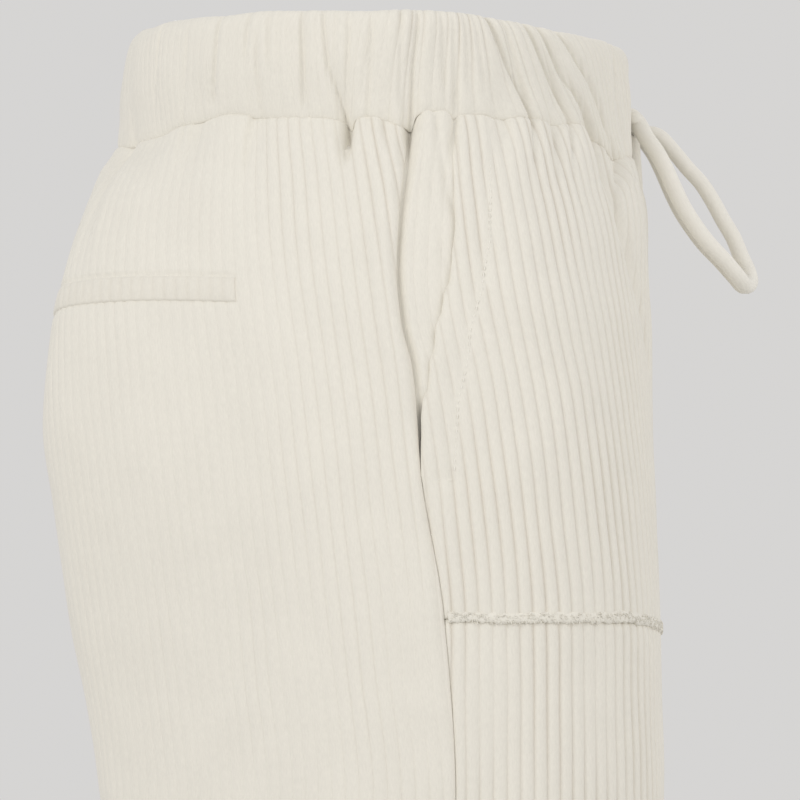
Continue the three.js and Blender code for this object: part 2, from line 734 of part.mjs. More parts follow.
const knot = knotSolid();
addPiece('drawstring_knot', geometryOf(knot), stringCream);
for (const [side, hand] of Object.entries(HANDS)) {
  const lift = hand.mirrored ? LEFT_LOOP_LIFT : 0;
  const share = hand.mirrored ? LEFT_END_LENGTH : 1;
  const raised = LOOP_ROUTE.map((point) => ({ ...point, height: point.height + lift * point.side }));
  const loop = raised.map((point) => at(point, hand.mirrored));
  const end = END_ROUTE.map((point) => {
    const height = END_ROUTE[0].height + (point.height - END_ROUTE[0].height) * share;
    return at({ ...point, height }, hand.mirrored);
  });
  addPiece(`drawstring_loop_${side}`, clearOfKnot(cordTube(loop, 14), knot), stringCream);
  addPiece(`drawstring_end_${side}`, clearOfKnot(cordTube(end, 7), knot), stringCream);
}

export default trousers;
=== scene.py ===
from math import cos, pi, radians, sin

import bpy
import numpy as np
from mathutils import Matrix, Vector


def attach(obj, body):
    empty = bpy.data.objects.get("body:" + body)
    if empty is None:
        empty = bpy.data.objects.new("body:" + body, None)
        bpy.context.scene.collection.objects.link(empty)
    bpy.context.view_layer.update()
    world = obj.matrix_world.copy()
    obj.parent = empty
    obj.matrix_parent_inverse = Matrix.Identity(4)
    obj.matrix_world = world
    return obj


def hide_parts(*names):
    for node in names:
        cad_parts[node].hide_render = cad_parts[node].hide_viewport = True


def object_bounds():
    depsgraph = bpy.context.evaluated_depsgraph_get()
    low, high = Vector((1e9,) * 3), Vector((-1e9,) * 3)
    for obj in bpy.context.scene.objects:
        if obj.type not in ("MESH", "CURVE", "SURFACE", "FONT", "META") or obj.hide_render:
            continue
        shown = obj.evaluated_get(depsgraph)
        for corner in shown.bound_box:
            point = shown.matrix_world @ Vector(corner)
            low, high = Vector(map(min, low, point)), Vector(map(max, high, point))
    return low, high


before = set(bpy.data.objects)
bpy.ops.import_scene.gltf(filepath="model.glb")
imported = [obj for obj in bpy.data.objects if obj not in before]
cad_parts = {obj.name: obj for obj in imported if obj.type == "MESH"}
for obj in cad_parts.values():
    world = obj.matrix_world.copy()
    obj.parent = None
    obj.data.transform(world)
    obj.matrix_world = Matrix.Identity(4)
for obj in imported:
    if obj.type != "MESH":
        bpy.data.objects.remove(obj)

# Pull-on corduroy trousers as worn. Tables are in millimetres and meshes in metres.
# Depth is measured down from the top of the band, side out from the middle plane,
# reach forward from the side line, and run along the cloth from the front centre round to the back.
mm = 0.001
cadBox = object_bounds()
handed = {
    "right": {"sign": -1, "shift": 0, "strength": 1, "seed": 11},
    "left": {"sign": 1, "shift": 5, "strength": 0.85, "seed": 23},
}
seamGap = 0.3
crotchDepth = 300
hemDepth = 1020
hemStitches = 990
bandHeight = 44
thighSeam = 244
pocketEnd = 188


def table(names, rows):
    # one array of numbers for each named column
    return dict(zip(names.split(), np.array(rows, float).T))


sections = table("depth outer inner front frontPeak back backPeak frontPower backPower", [
    (0, 129.5, -129, 101.5, 2, 101, 2, 1.8, 2.1),
    (22, 130.5, -130, 104, 2, 104, 2, 1.8, 2.1),
    (44, 131, -131, 106.5, 4, 106.5, 6, 1.9, 2),
    (56, 138, -138, 108.4, 7, 111.5, 32, 2.1, 1.8),
    (72, 146, -144, 109.3, 9, 117.2, 56, 2.4, 1.7),
    (95, 156, -142, 109.2, 11, 124.8, 70, 2.7, 1.6),
    (125, 165, -134, 110, 20, 131.3, 77, 3, 1.6),
    (160, 171, -118, 110.3, 42, 134.3, 80, 3, 1.6),
    (195, 175, -86, 111.3, 66, 129.6, 83, 2.8, 1.6),
    (244, 177, -38, 112.7, 83, 122.3, 85, 2.6, 1.5),
    (278, 177, -11, 113.4, 85, 115.3, 86, 2.6, 1.5),
    (300, 176, 0.15, 114, 87, 111.8, 87, 2.6, 1.5),
    (400, 173, 13, 112, 92, 101, 92, 2.5, 1.6),
    (620, 172, 21, 106, 96, 93, 96, 2.4, 1.8),
    (1020, 174, 23, 102, 98, 90, 98, 2.3, 2),
])
innerPower = 2.2
# Samples round half the garment, about 0.5 mm apart, and in samples how far the ridge is rounded off:
# how near to the peak, how far from the back centre, and over how many the mean is taken.
ringSamples = 961
ridgeSoftening = {"near": 130, "centre": (30, 110), "mean": 101}
# The waist sits lower at the front: rise at the back and the front, and the reaches between.
waistTilt = {"back": 1.7, "front": -3.2, "from": 20, "to": 90, "fade": 150}
sideSeam = table("depth reach", [
    (44, 13), (88, 8.4), (106, 7.7), (126, 9.4), (143, 13.6), (158, 15.3), (185, 17.3), (244, 26.5),
    (315, 31), (620, 16), (1020, 8),
])
pocketEdge = table("depth reach", [
    (44, 31), (95, 30.5), (131, 23), (150, 20), (166, 17.2), (188, 17.3),
])
frontGrain = table("depth reach", [
    (44, 38.8), (76, 43.7), (117, 49.9), (157, 57.3), (197, 62.8), (244, 66.5), (315, 67), (620, 58),
    (1020, 52),
])
backGrain = table("depth reach", [
    (44, -31), (97, -26), (157, -18.4), (205, -12.7), (260, -7), (315, -1.5), (620, -15), (1020, -22),
])
gather = table("depth share", [(44, 0.88), (95, 0.98), (150, 1)])

# Wall under the grooves, rise and width of a wale, how flat its crest is, how high it still is
# at a seam, and how far the cloth goes in under the band and sinks at its seams.
corduroy = {"cloth": 1.6, "wale": 1.15, "pitch": 5.5, "crest": 2.1, "low": 0.3}
corduroy.update({"tuck": 2.6, "settle": 0.3})
# Where each wale has its columns, as shares of its width, closer together in the groove.
waleColumns = np.array([0, 0.07, 0.18, 0.34, 0.5, 0.66, 0.82, 0.93])

# Long creases by distance from the side seam, forward positive, at their top and bottom.
folds = table("top bottom placeTop placeBottom width rise", [
    (46, 160, 97, 166, 11, -5.5),
    (46, 150, 120, 184, 15, 2),
    (44, 66, -26, -23, 5, -2.2),
    (44, 60, -9, -6, 5, -2),
    (44, 110, -152, -149, 10, -2.4),
    (60, 190, 44, 58, 16, 0.9),
    (150, 300, 70, 74, 22, 0.8),
    (48, 196, -6, -5, 8, 2.4),
    (196, 330, -7, -7, 8, 0.9),
    (120, 290, -95, -84, 30, -0.9),
    (90, 230, -58, -50, 26, 0.8),
    (330, 1020, 84, 74, 46, -3.5),
    (400, 1020, -70, -62, 44, -4),
    (560, 1020, 6, 10, 50, 2.5),
    (700, 1020, 130, 126, 34, 2),
    (640, 1020, -140, -150, 40, 2.4),
])
valley = {"top": 0, "full": 50, "ease": 165, "bottom": 225, "width": 27, "depth": 12}
# The seam under the band arches up between the gathers that pull it down:
# rise over the tilted waist by distance from the side seam, and how sharply each place is pinched.
waistSeam = table("place rise pinch", [
    (-200, -2, 0.6), (-178, -2.5, 0), (-155, -4.4, 1), (-135, -3.7, 0), (-120, -2.8, 0.2),
    (-105, 0.3, 0), (-94, 1.2, 0.8), (-88, 2, 0.3), (-78, 3.3, 0), (-68.5, 2.6, 0.2), (-66, 1.4, 0.9),
    (-62, 1, 0.4), (-50, 0.7, 0), (-36, 0.3, 0.1), (-30, -0.5, 0.2), (-26.4, -1.8, 0.5), (-23.7, -5, 1),
    (-21.6, -0.6, 0.4), (-18, 0.6, 0), (-14, 0.5, 0), (-10.5, -0.9, 0.2), (-5, -2.8, 0.6),
    (-1.5, -3.9, 1), (1.2, -5, 1), (2.6, 0.2, 0.4), (4.5, 2.2, 0), (8, 3, 0), (14, 3.2, 0),
    (16.6, 2.4, 0.2), (18.4, 0.3, 0.9), (20.2, 1.6, 0.3), (23, 2.4, 0), (27.5, 2.9, 0), (32, 3.7, 0),
    (37, 2.9, 0.5), (40.8, 3, 0.7), (46, 4.4, 0.1), (52, 5.4, 0), (59, 5.6, 0), (65, 4.8, 0.4),
    (68, 4.1, 0.9), (73, 4.7, 0.2), (80, 6.2, 0), (89, 6.6, 0), (97, 4, 0.2), (105, 0, 0.6),
    (111, -3.2, 0.9), (114.5, -5.4, 1), (119, -5.2, 0.7), (125, -4.4, 0), (131, -3, 0),
    (140, -2.6, 0.2), (150, -3.6, 1), (171, -4, 0.4),
])


def smoothStep(low, high, value):
    # 3t^2 - 2t^3 between the two limits
    t = np.clip((value - low) / (high - low), 0, 1)
    return t * t * (3 - 2 * t)


def fade(low, high, value):
    # the same step down, from 1 to 0
    return 1 - smoothStep(low, high, value)


def hill(distance, width):
    # squared cosine, 1 in the middle and 0 past the width
    return np.cos(np.clip(distance / width, -1, 1) * pi / 2) ** 2


def roundTip(distance, size):
    # quarter circle that rises from 0 to 1 over the size
    return np.sqrt(np.clip(1 - (1 - np.clip(distance / size, 0, 1)) ** 2, 0, 1))


def waves(u, v, size, seed):
    # sum of five sines of about that size in seeded directions, from about -1 to 1
    rng = np.random.default_rng(seed)
    total = 0
    for _ in range(5):
        angle, phase, stretch = rng.uniform(0, 2 * pi), rng.uniform(0, 2 * pi), rng.uniform(0.7, 1.5)
        total = total + np.sin((u * cos(angle) + v * sin(angle)) * 2 * pi * stretch / size + phase)
    return total / 3


def follow(rows, name, depth, along="depth"):
    # cubic through the rows, its slope at each the harmonic mean of its neighbours' slopes
    x, y = rows[along], rows[name]
    rate = np.diff(y) / np.diff(x)
    product = rate[1:] * rate[:-1]
    total = np.where(product > 0, rate[1:] + rate[:-1], 1)
    slope = np.concatenate([rate[:1], np.where(product > 0, 2 * product / total, 0), rate[-1:]])
    at = np.clip(depth, x[0], x[-1])
    i = np.clip(np.searchsorted(x, at, side="right") - 1, 0, len(x) - 2)
    span = x[i + 1] - x[i]
    t = (at - x[i]) / span
    fromStart = (1 + 2 * t) * (1 - t) ** 2 * y[i] + t * (1 - t) ** 2 * span * slope[i]
    fromEnd = t * t * (3 - 2 * t) * y[i + 1] + t * t * (t - 1) * span * slope[i + 1]
    return fromStart + fromEnd


def rounded(line, width):
    # running mean of each row over the width in samples
    padded = np.pad(line, ((0, 0), (width // 2, width // 2)), mode="edge")
    sums = np.cumsum(np.pad(padded, ((0, 0), (1, 0))), axis=1)
    return (sums[:, width:] - sums[:, :-width]) / width


def ringsAt(depth, gap=seamGap):
    # superellipse quarters: side = peak + width |cos|^(2/power), reach = length |sin|^(2/power),
    # with the ridge at the back's peak rounded off and its reach kept
    row = {name: follow(sections, name, depth)[:, None] for name in sections}
    seam = gap / 2

    def cutAngle(peak):
        # where the inner quarter meets the middle plane
        share = np.clip((peak - seam) / (peak - row["inner"]), 0, 1)
        return np.arccos(-(share ** (innerPower / 2)))

    start, end = cutAngle(row["frontPeak"]), -cutAngle(row["backPeak"])
    angle = start + (end - start) * np.linspace(0, 1, ringSamples)
    c, s = np.cos(angle), np.sin(angle)
    inFront, outside = s >= 0, c >= 0
    peak = np.where(inFront, row["frontPeak"], row["backPeak"])
    power = np.where(outside, np.where(inFront, row["frontPower"], row["backPower"]), innerPower)
    width = np.where(outside, row["outer"] - peak, peak - row["inner"])
    length = np.where(inFront, row["front"], row["back"])
    side = peak + np.sign(c) * width * np.abs(c) ** (2 / power)
    reach = np.sign(s) * length * np.abs(s) ** (2 / power)
    sample = np.arange(ringSamples)
    nearPeak = hill(sample - reach.argmin(axis=1)[:, None], ridgeSoftening["near"])
    nearPeak = nearPeak * smoothStep(*ridgeSoftening["centre"], ringSamples - 1 - sample)
    furthest = reach.min(axis=1, keepdims=True)
    side = side + nearPeak * (rounded(side, ridgeSoftening["mean"]) - side)
    reach = reach + nearPeak * (rounded(reach, ridgeSoftening["mean"]) - reach)
    reach = np.where(reach < 0, reach * furthest / reach.min(axis=1, keepdims=True), reach)
    stepSide, stepReach = np.gradient(side, axis=1), np.gradient(reach, axis=1)
    stepLength = np.hypot(stepSide, stepReach)
    steps = np.hypot(np.diff(side), np.diff(reach))
    run = np.concatenate([np.zeros((len(depth), 1)), np.cumsum(steps, axis=1)], axis=1)
    rings = {
        "depth": depth,
        "down": depth[:, None],
        "side": side,
        "reach": reach,
        "run": run,
        "normalSide": -stepReach / stepLength,
        "normalReach": stepSide / stepLength,
        "length": run[:, -1],
    }
    rings["seam"] = runAtReach(rings, follow(sideSeam, "reach", depth))
    return rings


def runAtReach(rings, reach):
    # inverse of reach over the outer side, row by row
    found = []
    values = np.broadcast_to(reach, len(rings["depth"]))
    for value, line, run in zip(values, rings["reach"], rings["run"]):
        front, back = line.argmax(), line.argmin()
        found.append(np.interp(-value, -line[front : back + 1], run[front : back + 1]))
    return np.array(found)


def pick(rings, name, run):
    # the rings' values at a run, row by row
    rows = zip(run, rings["run"], rings[name])
    return np.stack([np.interp(wanted, known, values) for wanted, known, values in rows])


def tiltRise(rings, run):
    # eased from the back's rise to the front's by reach, faded out below the waist
    level = smoothStep(waistTilt["from"], waistTilt["to"], pick(rings, "reach", run))
    level = waistTilt["back"] + (waistTilt["front"] - waistTilt["back"]) * level
    return level * fade(bandHeight, waistTilt["fade"], rings["down"])


def gathered(name, place, hand):
    # a column of the waist seam's table; the left side has the same gathers, shifted unevenly
    shifted = place - hand["shift"] * (1 + 0.4 * np.sin(place / 17))
    return follow(waistSeam, name, shifted, "place")


def foldRise(rings, run, hand):
    # sum of hills along each crease's line, plus the valley at the front centre
    depth = rings["down"]
    place = rings["seam"][:, None] - run
    rise = np.zeros_like(run)
    for top, bottom, placeTop, placeBottom, width, height in zip(*folds.values()):
        t = (depth - top) / (bottom - top)
        centre = placeTop + (placeBottom - placeTop) * t + hand["shift"] * np.sign(placeTop)
        along = smoothStep(0, 0.4, t) if bottom == hemDepth else fade(0.35, 1, t)
        strength = np.where(t <= 1, along, 0) * smoothStep(top - 22, top + 6, depth) * hand["strength"]
        rise += height * strength * hill(place - centre, width)
    valleyStrength = smoothStep(valley["top"], valley["full"], depth)
    valleyStrength = valleyStrength * fade(valley["ease"], valley["bottom"], depth)
    return rise - valley["depth"] * valleyStrength * hill(run, valley["width"])


# Gathers pressed into the band: forward reach at its top, middle and bottom, half width, rise,
# and the shares of the band's height between which each one runs.
bandGathers = table("top middle bottom width rise from to", [
    (96, 96, 101, 4, -1.6, 0, 1), (74, 86, 97, 5, -3.2, 0.05, 1), (66, 75, 90, 5, -3.0, 0, 1),
    (61, 69, 78, 5, -3.2, 0, 1), (51, 56, 62, 3.5, -1.9, 0, 0.9), (45.6, 53, 62.5, 5, -3.2, 0, 1),
    (39.2, 41, 44, 3, -1.0, 0, 0.8), (35.2, 35.5, 36, 3, -1.2, 0, 0.7),
    (30.4, 30.5, 31, 3, -1.0, 0.1, 0.9), (26, 26, 27, 3, -1.2, 0, 0.8), (17, 14, 13.6, 5, -2.7, 0, 1),
    (9.6, 9.2, 8.8, 3, -1.2, 0, 0.8), (-2.4, -3, -4, 4, -1.5, 0, 1),
    (-11.6, -12, -12.5, 3.5, -1.3, 0, 0.8), (-16.8, -17, -17.5, 3, -1.1, 0, 0.6),
    (-22.4, -20, -12, 5, -2.4, 0, 1), (-30.8, -30, -29.6, 5, -2.3, 0, 0.95),
    (-36, -36, -36, 3, -0.8, 0, 0.4), (-39.6, -40, -40, 3, -0.8, 0, 0.6),
    (-44, -43, -42, 3, -1.1, 0, 0.6), (-48.5, -48, -46, 4, -1.3, 0.3, 1),
    (-52, -53, -54, 3.5, -1.4, 0, 0.45), (-64.4, -65, -66, 4, -1.9, 0, 0.9),
    (-76, -77, -78, 3, -0.8, 0.2, 1), (-88, -89, -90, 4, -1.0, 0, 0.7),
])


def gatherRise(rings, run, hand):
    # creases pressed in by the elastic: each is a wide hill and a narrow one, upside down, along its line
    total = np.zeros_like(run)
    near = rings["depth"] < bandHeight + 26
    part = {name: values[near] for name, values in rings.items()}
    t = part["depth"] / bandHeight
    below = fade(bandHeight, bandHeight + 24, part["depth"])
    rng = np.random.default_rng(hand["seed"] + 20)
    for top, middle, bottom, width, rise, begin, finish in zip(*bandGathers.values()):
        sway, force = rng.uniform(-3.5, 3.5), rng.uniform(0.7, 1.1)
        if hand["sign"] < 0:
            sway, force = 0, 1
        centre = runAtReach(part, np.interp(t, [0, 0.5, 1], [top, middle, bottom]) + sway)
        away = run[near] - centre[:, None]
        window = smoothStep(begin - 0.2, begin + 0.05, t)
        if finish < 1:
            window = window * fade(finish - 0.15, finish + 0.1, t)
        shape = 0.55 * hill(away, width) + 0.45 * hill(away, 1.5)
        total[near] += rise * force * (window * below)[:, None] * shape
    return total


def softUndulation(rings, run, hand):
    # slow unevenness of worn cloth, stronger in the loose leg
    depth = rings["down"]
    place = rings["seam"][:, None] - run
    loose = 0.25 + 0.6 * smoothStep(300, 700, depth)
    small = 0.12 * waves(place, depth * 0.5, 24, hand["seed"] + 1)
    return loose * waves(place, depth * 0.35, 90, hand["seed"]) + small


def under(rings, run, hand, amount=1.0):
    # pinches that run down from the waist seam and fade, with the cloth puffed between them
    depth = rings["down"]
    near = gathered("pinch", rings["seam"][:, None] - run, hand)
    below = fade(bandHeight, bandHeight + 34, depth) ** 1.5
    puff = hill(depth - bandHeight - 9, 16) * 0.9 * (1 - near)
    return amount * (puff - 2.2 * near ** 1.5 * below)


def rolledIn(distance, size, amount):
    # edge that turns down to minus the amount over the size
    return -amount * (1 - roundTip(distance, size))


def steppedDepths(stops):
    # depths from one stop to the next at each stop's spacing
    rows = [np.arange(low, high, step) for (low, step), (high, _) in zip(stops, stops[1:])]
    return np.concatenate(rows + [[stops[-1][0]]]).astype(float)


def makeMesh(name, corners, faces, uv=None, pile=None, material=None, smooth=True):
    # object from the corners that its faces use, with its grain map and pile height
    used, flat = np.unique(np.concatenate([np.ravel(f) for f in faces]), return_inverse=True)
    sizes = [np.shape(f) for f in faces]
    mesh = bpy.data.meshes.new(name)
    split = np.split(flat, np.cumsum([a * b for a, b in sizes])[:-1])
    polygons = [part.reshape(shape).tolist() for part, shape in zip(split, sizes)]
    mesh.from_pydata(np.asarray(corners)[used].tolist(), [], sum(polygons, []))
    if uv is not None:
        layer = mesh.uv_layers.new(name="grain")
        loops = np.empty(len(mesh.loops), int)
        mesh.loops.foreach_get("vertex_index", loops)
        layer.data.foreach_set("uv", np.asarray(uv)[used][loops].ravel())
    if pile is not None:
        height = mesh.attributes.new("pile", "FLOAT", "POINT")
        height.data.foreach_set("value", np.asarray(pile)[used].ravel())
    if smooth:
        mesh.shade_smooth()
        mesh.set_sharp_from_angle(angle=radians(70))
    piece = bpy.data.objects.new(name, mesh)
    bpy.context.scene.collection.objects.link(piece)
    if material:
        mesh.materials.append(material)
    return piece


def gridFaces(index, facingOut):
    # two triangles for each cell of a grid of corner numbers, without those that have closed up
    a, b, c, d = index[:-1, :-1], index[:-1, 1:], index[1:, 1:], index[1:, :-1]
    order = [(a, b, c), (a, c, d)] if facingOut else [(a, c, b), (a, d, c)]
    return dropClosed(np.concatenate([np.stack(part, -1).reshape(-1, 3) for part in order]))


def dropClosed(faces):
    # the triangles whose three corners differ
    a, b, c = faces.T
    return faces[(a != b) & (b != c) & (c != a)]


def numbered(grid, closedDown=True, closedAcross=True):
    # corner numbers of a grid, its first row or column again at the end where it closes
    index = np.arange(grid.shape[0] * grid.shape[1]).reshape(grid.shape[:2])
    if closedDown:
        index = np.vstack([index, index[:1]])
    return np.hstack([index, index[:, :1]]) if closedAcross else index


def fan(centre, rim):
    # triangles from one corner to each step along a rim
    return np.stack([np.full(len(rim) - 1, centre), rim[:-1], rim[1:]], -1)


def rimFaces(outer, inner, every, facingDown):
    # fans between a fine edge and a coarse one that skips columns
    half = every // 2
    count = len(inner) - 1
    step = np.arange(count)[:, None]
    fine = step * every + np.arange(every)[None, :]
    anchor = np.where(np.arange(every)[None, :] < half, step, step + 1)
    fans = np.stack([outer[fine + 1], outer[fine], inner[anchor]], -1).reshape(-1, 3)
    base = np.stack([inner[:-1], inner[1:], outer[np.arange(count) * every + half]], -1)
    faces = np.concatenate([fans, base])
    return dropClosed(faces[:, ::-1] if facingDown else faces)


def heightOn(rings, run, hand):
    # height from the depth, the waist's tilt and the arches of the seam under the band
    arches = gathered("rise", rings["seam"][:, None] - run, hand) * hand["strength"]
    arches = arches * fade(bandHeight, bandHeight + 26, rings["down"])
    return bandHeight / 2 - rings["down"] + tiltRise(rings, run) + arches


def liftedPoints(rings, run, lift, height, hand, least=seamGap / 2):
    # points in metres: form + lift * normal, no nearer to the middle plane than the least
    side = pick(rings, "side", run) + pick(rings, "normalSide", run) * lift
    reach = pick(rings, "reach", run) + pick(rings, "normalReach", run) * lift
    return np.stack([hand["sign"] * np.maximum(side, least), -reach, height], -1) * mm


def layWales(spec, rings, hand):
    # run of each column = grain line + wale number * pitch + slow sway, before the edges cut it
    start, end = [edge[:, None] for edge in spec["edges"](rings)]
    grain = spec["grain"](rings)[:, None]
    width = corduroy["pitch"] * follow(gather, "share", rings["down"])
    first = int(np.floor(((start - grain) / width).min())) - 1
    last = int(np.ceil(((end - grain) / width).max())) + 1
    phase = (np.arange(first, last)[:, None] + waleColumns).ravel()
    phase = np.append(phase, last)[None, :]
    place, down = phase * corduroy["pitch"], rings["down"]
    sway = 0.4 * waves(place, down, 130, hand["seed"] + 2) + 0.2 * waves(place, down, 48, hand["seed"] + 7)
    return phase, grain + phase * width + sway * smoothStep(0, 12, down - down[0]), start, end


def panelFaces(raw, start, end, every):
    # a fine outer grid, an inner one with fewer columns, and the strips round their rims
    def closedUp(runs):
        # corner numbers in which the columns past an edge all take the corner on it
        columns = np.arange(runs.shape[1])[None, :]
        low = (runs <= start).sum(1, keepdims=True) - 1
        high = runs.shape[1] - (runs >= end).sum(1, keepdims=True)
        return np.arange(len(runs))[:, None] * runs.shape[1] + np.clip(columns, low, high)

    outer, inner = closedUp(raw), raw.size + closedUp(raw[:, ::every])
    return [
        gridFaces(outer, True),
        gridFaces(inner, False),
        rimFaces(outer[0], inner[0], every, False),
        rimFaces(outer[-1], inner[-1], every, True),
        gridFaces(np.stack([inner[:, 0], outer[:, 0]], 1), True),
        gridFaces(np.stack([outer[:, -1], inner[:, -1]], 1), True),
    ]


def clothPanel(name, spec, hand, material):
    # wall of one panel: outside = form + wale * taper * pile, inside = form - cloth
    rings = ringsAt(spec["rows"])
    down, tips, low = rings["down"], spec["tips"], corduroy["low"]
    phase, raw, start, end = layWales(spec, rings, hand)
    run, place = np.clip(raw, start, end), phase * corduroy["pitch"]
    fromEdge = np.minimum(run - start, end - run)
    fromTop, fromBottom = down - max(down[0, 0], bandHeight), down[-1] - down
    taper = low + (1 - low) * roundTip(fromEdge, tips["side"])
    taper = taper * (0.4 + 0.6 * roundTip(fromTop, tips["top"])) * roundTip(fromBottom, tips["bottom"])
    crest = 1 - np.abs(2 * (phase % 1) - 1) ** corduroy["crest"]
    groove = spec["groove"](rings, run, start, end)
    groove = groove * (1 + 0.35 * waves(place, down * 0.2, 30, hand["seed"] + 3))
    # the same pile also sets the colour: low pile is painted shade in the grooves
    pile = 1 - (1 - crest) * np.clip(groove, 0.1, 1)
    level = foldRise(rings, run, hand) + gatherRise(rings, run, hand) + softUndulation(rings, run, hand)
    level = level + spec["shape"](rings, run, start, end, hand) - corduroy["tuck"] * (down < bandHeight)
    level = level - hill(fromEdge, 6) * corduroy["settle"]
    height = heightOn(rings, run, hand)
    outside = liftedPoints(rings, run, level + corduroy["wale"] * taper * pile, height, hand)
    every = len(waleColumns)
    inside = liftedPoints(rings, run, level - corduroy["cloth"], height, hand)[:, ::every]
    faces = panelFaces(raw, start, end, every)
    if hand["sign"] > 0:
        faces = [part[:, ::-1] for part in faces]
    uv = np.stack(np.broadcast_arrays(place, down), -1) * mm
    uv = np.concatenate([uv.reshape(-1, 2), uv[:, ::every].reshape(-1, 2)])
    pile = np.concatenate([pile.ravel(), np.full(inside[..., 0].size, 0.5)])
    corners = np.concatenate([outside.reshape(-1, 3), inside.reshape(-1, 3)])
    return makeMesh(name, corners, faces, uv, pile, material)


def frontShape(rings, run, start, end, hand):
    # pinches under the band, a rolled pocket edge, and side and centre seams that sink in
    depth = rings["down"]
    pocket = fade(pocketEnd - 6, pocketEnd + 8, depth)
    fromSide, fromCentre = end - run, run - start
    shape = under(rings, run, hand) + rolledIn(depth - bandHeight, 2.5, 0.3)
    shape = shape + pocket * (0.8 * hill(fromSide - 3, 9) + rolledIn(fromSide, 3, 1.2))
    shape = shape + (1 - pocket) * (rolledIn(fromSide, 4, 0.8) + 0.5 * hill(fromSide - 7, 6))
    stitched = pocket * hill(fromSide - stitchGap(depth), 3)
    tack = smoothStep(2, 5, fromSide) * fade(11, 14, fromSide)
    tack = -0.9 * hill(depth - pocketEnd - 1, 2.5) * tack
    return shape + rolledIn(fromCentre, 5, 1.3) - 0.35 * stitched + tack


def lowerShape(rings, run, start, end, hand):
    # side seam, inseam and thigh seam that sink in, and a dent over the hem stitch
    depth = rings["down"]
    shape = rolledIn(end - run, 4, 0.8) + rolledIn(run - start, 5, 1.3)
    return shape + rolledIn(depth - thighSeam, 5, 0.9) - 0.5 * hill(depth - hemStitches, 2.5)


def backShape(rings, run, start, end, hand):
    # the edge that rolls over the pocket, the pocket's slit and seam, and the hem stitch
    depth = rings["down"]
    beside = fade(pocketEnd, pocketEnd + 40, depth)
    fromSide, fromCentre = run - start, end - run
    shape = under(rings, run, hand) + rolledIn(depth - bandHeight, 2.5, 0.3)
    shape = shape + rolledIn(fromSide, 3, 0.5 + 0.6 * beside) + rolledIn(fromCentre, 5, 1.3)
    place = run - rings["seam"][:, None]
    across = (place + welt["start"]) / welt["length"]
    onWelt = smoothStep(-0.01, 0.01, across) * fade(0.99, 1.01, across)
    line = depth - weltArch(across)
    slit = -0.8 * hill(line - welt["top"] + 0.4, 1.8) - 0.5 * hill(line - welt["bottom"], 2.2)
    return shape + onWelt * slit - 0.5 * hill(depth - hemStitches, 2.5)


def facingShape(rings, run, start, end, hand):
    # lies in under both panels and swells a little where it shows
    depth = rings["down"]
    showing = (rings["seam"] - pocketRunOf(rings))[:, None]
    out = rings["seam"][:, None] - run
    trough = 0.6 + 2.4 * fade(46, 92, depth)
    ridge = smoothStep(trough - 0.6, trough + 3.6, out) * smoothStep(1, 5, showing)
    swell = 3.4 * ridge - 0.06 * np.clip(out - trough - 5, 0, 20)
    slant = 11.5 + 0.31 * (depth - 50)
    crease = 1.5 * np.clip(1 - np.abs(out - slant) / 3.2, 0, 1) ** 1.6 * fade(78, 88, depth)
    faint = 0.5 * np.clip(1 - np.abs(out - 11.6 - 0.25 * (depth - 71)) / 2.6, 0, 1) ** 1.6
    faint = faint * smoothStep(62, 74, depth) * fade(104, 120, depth)
    swell = swell - crease - faint - 1.1 * hill(out - showing - 1, 4.5)
    swell = swell + 1.3 * fade(bandHeight, 58, depth)
    return swell - 3.9 + under(rings, run, hand, 0.4) + rolledIn(depth - bandHeight, 3, 0.3)


def inseam(rings):
    # the front panel's start: at the middle plane above the crotch, at the seam's gap below it
    return np.where(rings["depth"] >= crotchDepth, seamGap / 2, 0)


def pocketRunOf(rings):
    # run of the pocket's edge
    return runAtReach(rings, follow(pocketEdge, "reach", rings["depth"]))


def stitchGap(depth):
    # how far in front of the pocket's edge its row of stitches runs
    return np.interp(depth, [44, 93, 188], [15, 14.3, 13.2])


def frontEdge(rings):
    # the pocket's edge with a small scallop for each wale that ends on it, then the side seam
    depth = rings["depth"]
    edge = np.where(depth < pocketEnd, pocketRunOf(rings), rings["seam"])
    count = (edge - grainOf(frontGrain)(rings)) / (corduroy["pitch"] * follow(gather, "share", depth))
    scallop = 0.45 * np.sin(2 * pi * count) + 0.18 * np.sin(4 * pi * count)
    scallop = scallop * smoothStep(48, 60, depth) * fade(150, pocketEnd, depth)
    return edge + scallop


def frontGroove(rings, run, start, end):
    # full depth of the grooves, less along the row of stitches and towards the front centre
    depth = rings["down"]
    stitched = hill(end - run - stitchGap(depth), 3) * fade(pocketEnd - 10, pocketEnd, depth)
    fromCentre = smoothStep(10, 32, run - start + 0.12 * np.clip(depth - 180, 0, 300))
    return 0.82 * (1 - 0.6 * stitched) * (0.2 + 0.8 * fromCentre)


def backGroove(rings, run, start, end):
    # grooves fade backwards and downwards, both in depth and in the painted shade they carry, where the
    # back lies flat to the light
    depth = rings["down"]
    side = smoothStep(-75, 0, pick(rings, "reach", run))
    return 0.3 + 0.45 * side * (1 - 0.6 * smoothStep(120, 240, depth))


def facingGroove(rings, run, start, end):
    # the same shallow groove all over
    return 0.45 + 0 * run


def grainOf(rows):
    # run of the wale that the table of reaches follows
    return lambda rings: runAtReach(rings, follow(rows, "reach", rings["depth"]))


welt = {"start": -66, "length": 128, "top": 107.5, "bottom": 117.6, "arch": 2.5}


def weltArch(across):
    # the welt's line rises in a half sine between its ends
    return -welt["arch"] * np.sin(pi * np.clip(across, 0, 1))


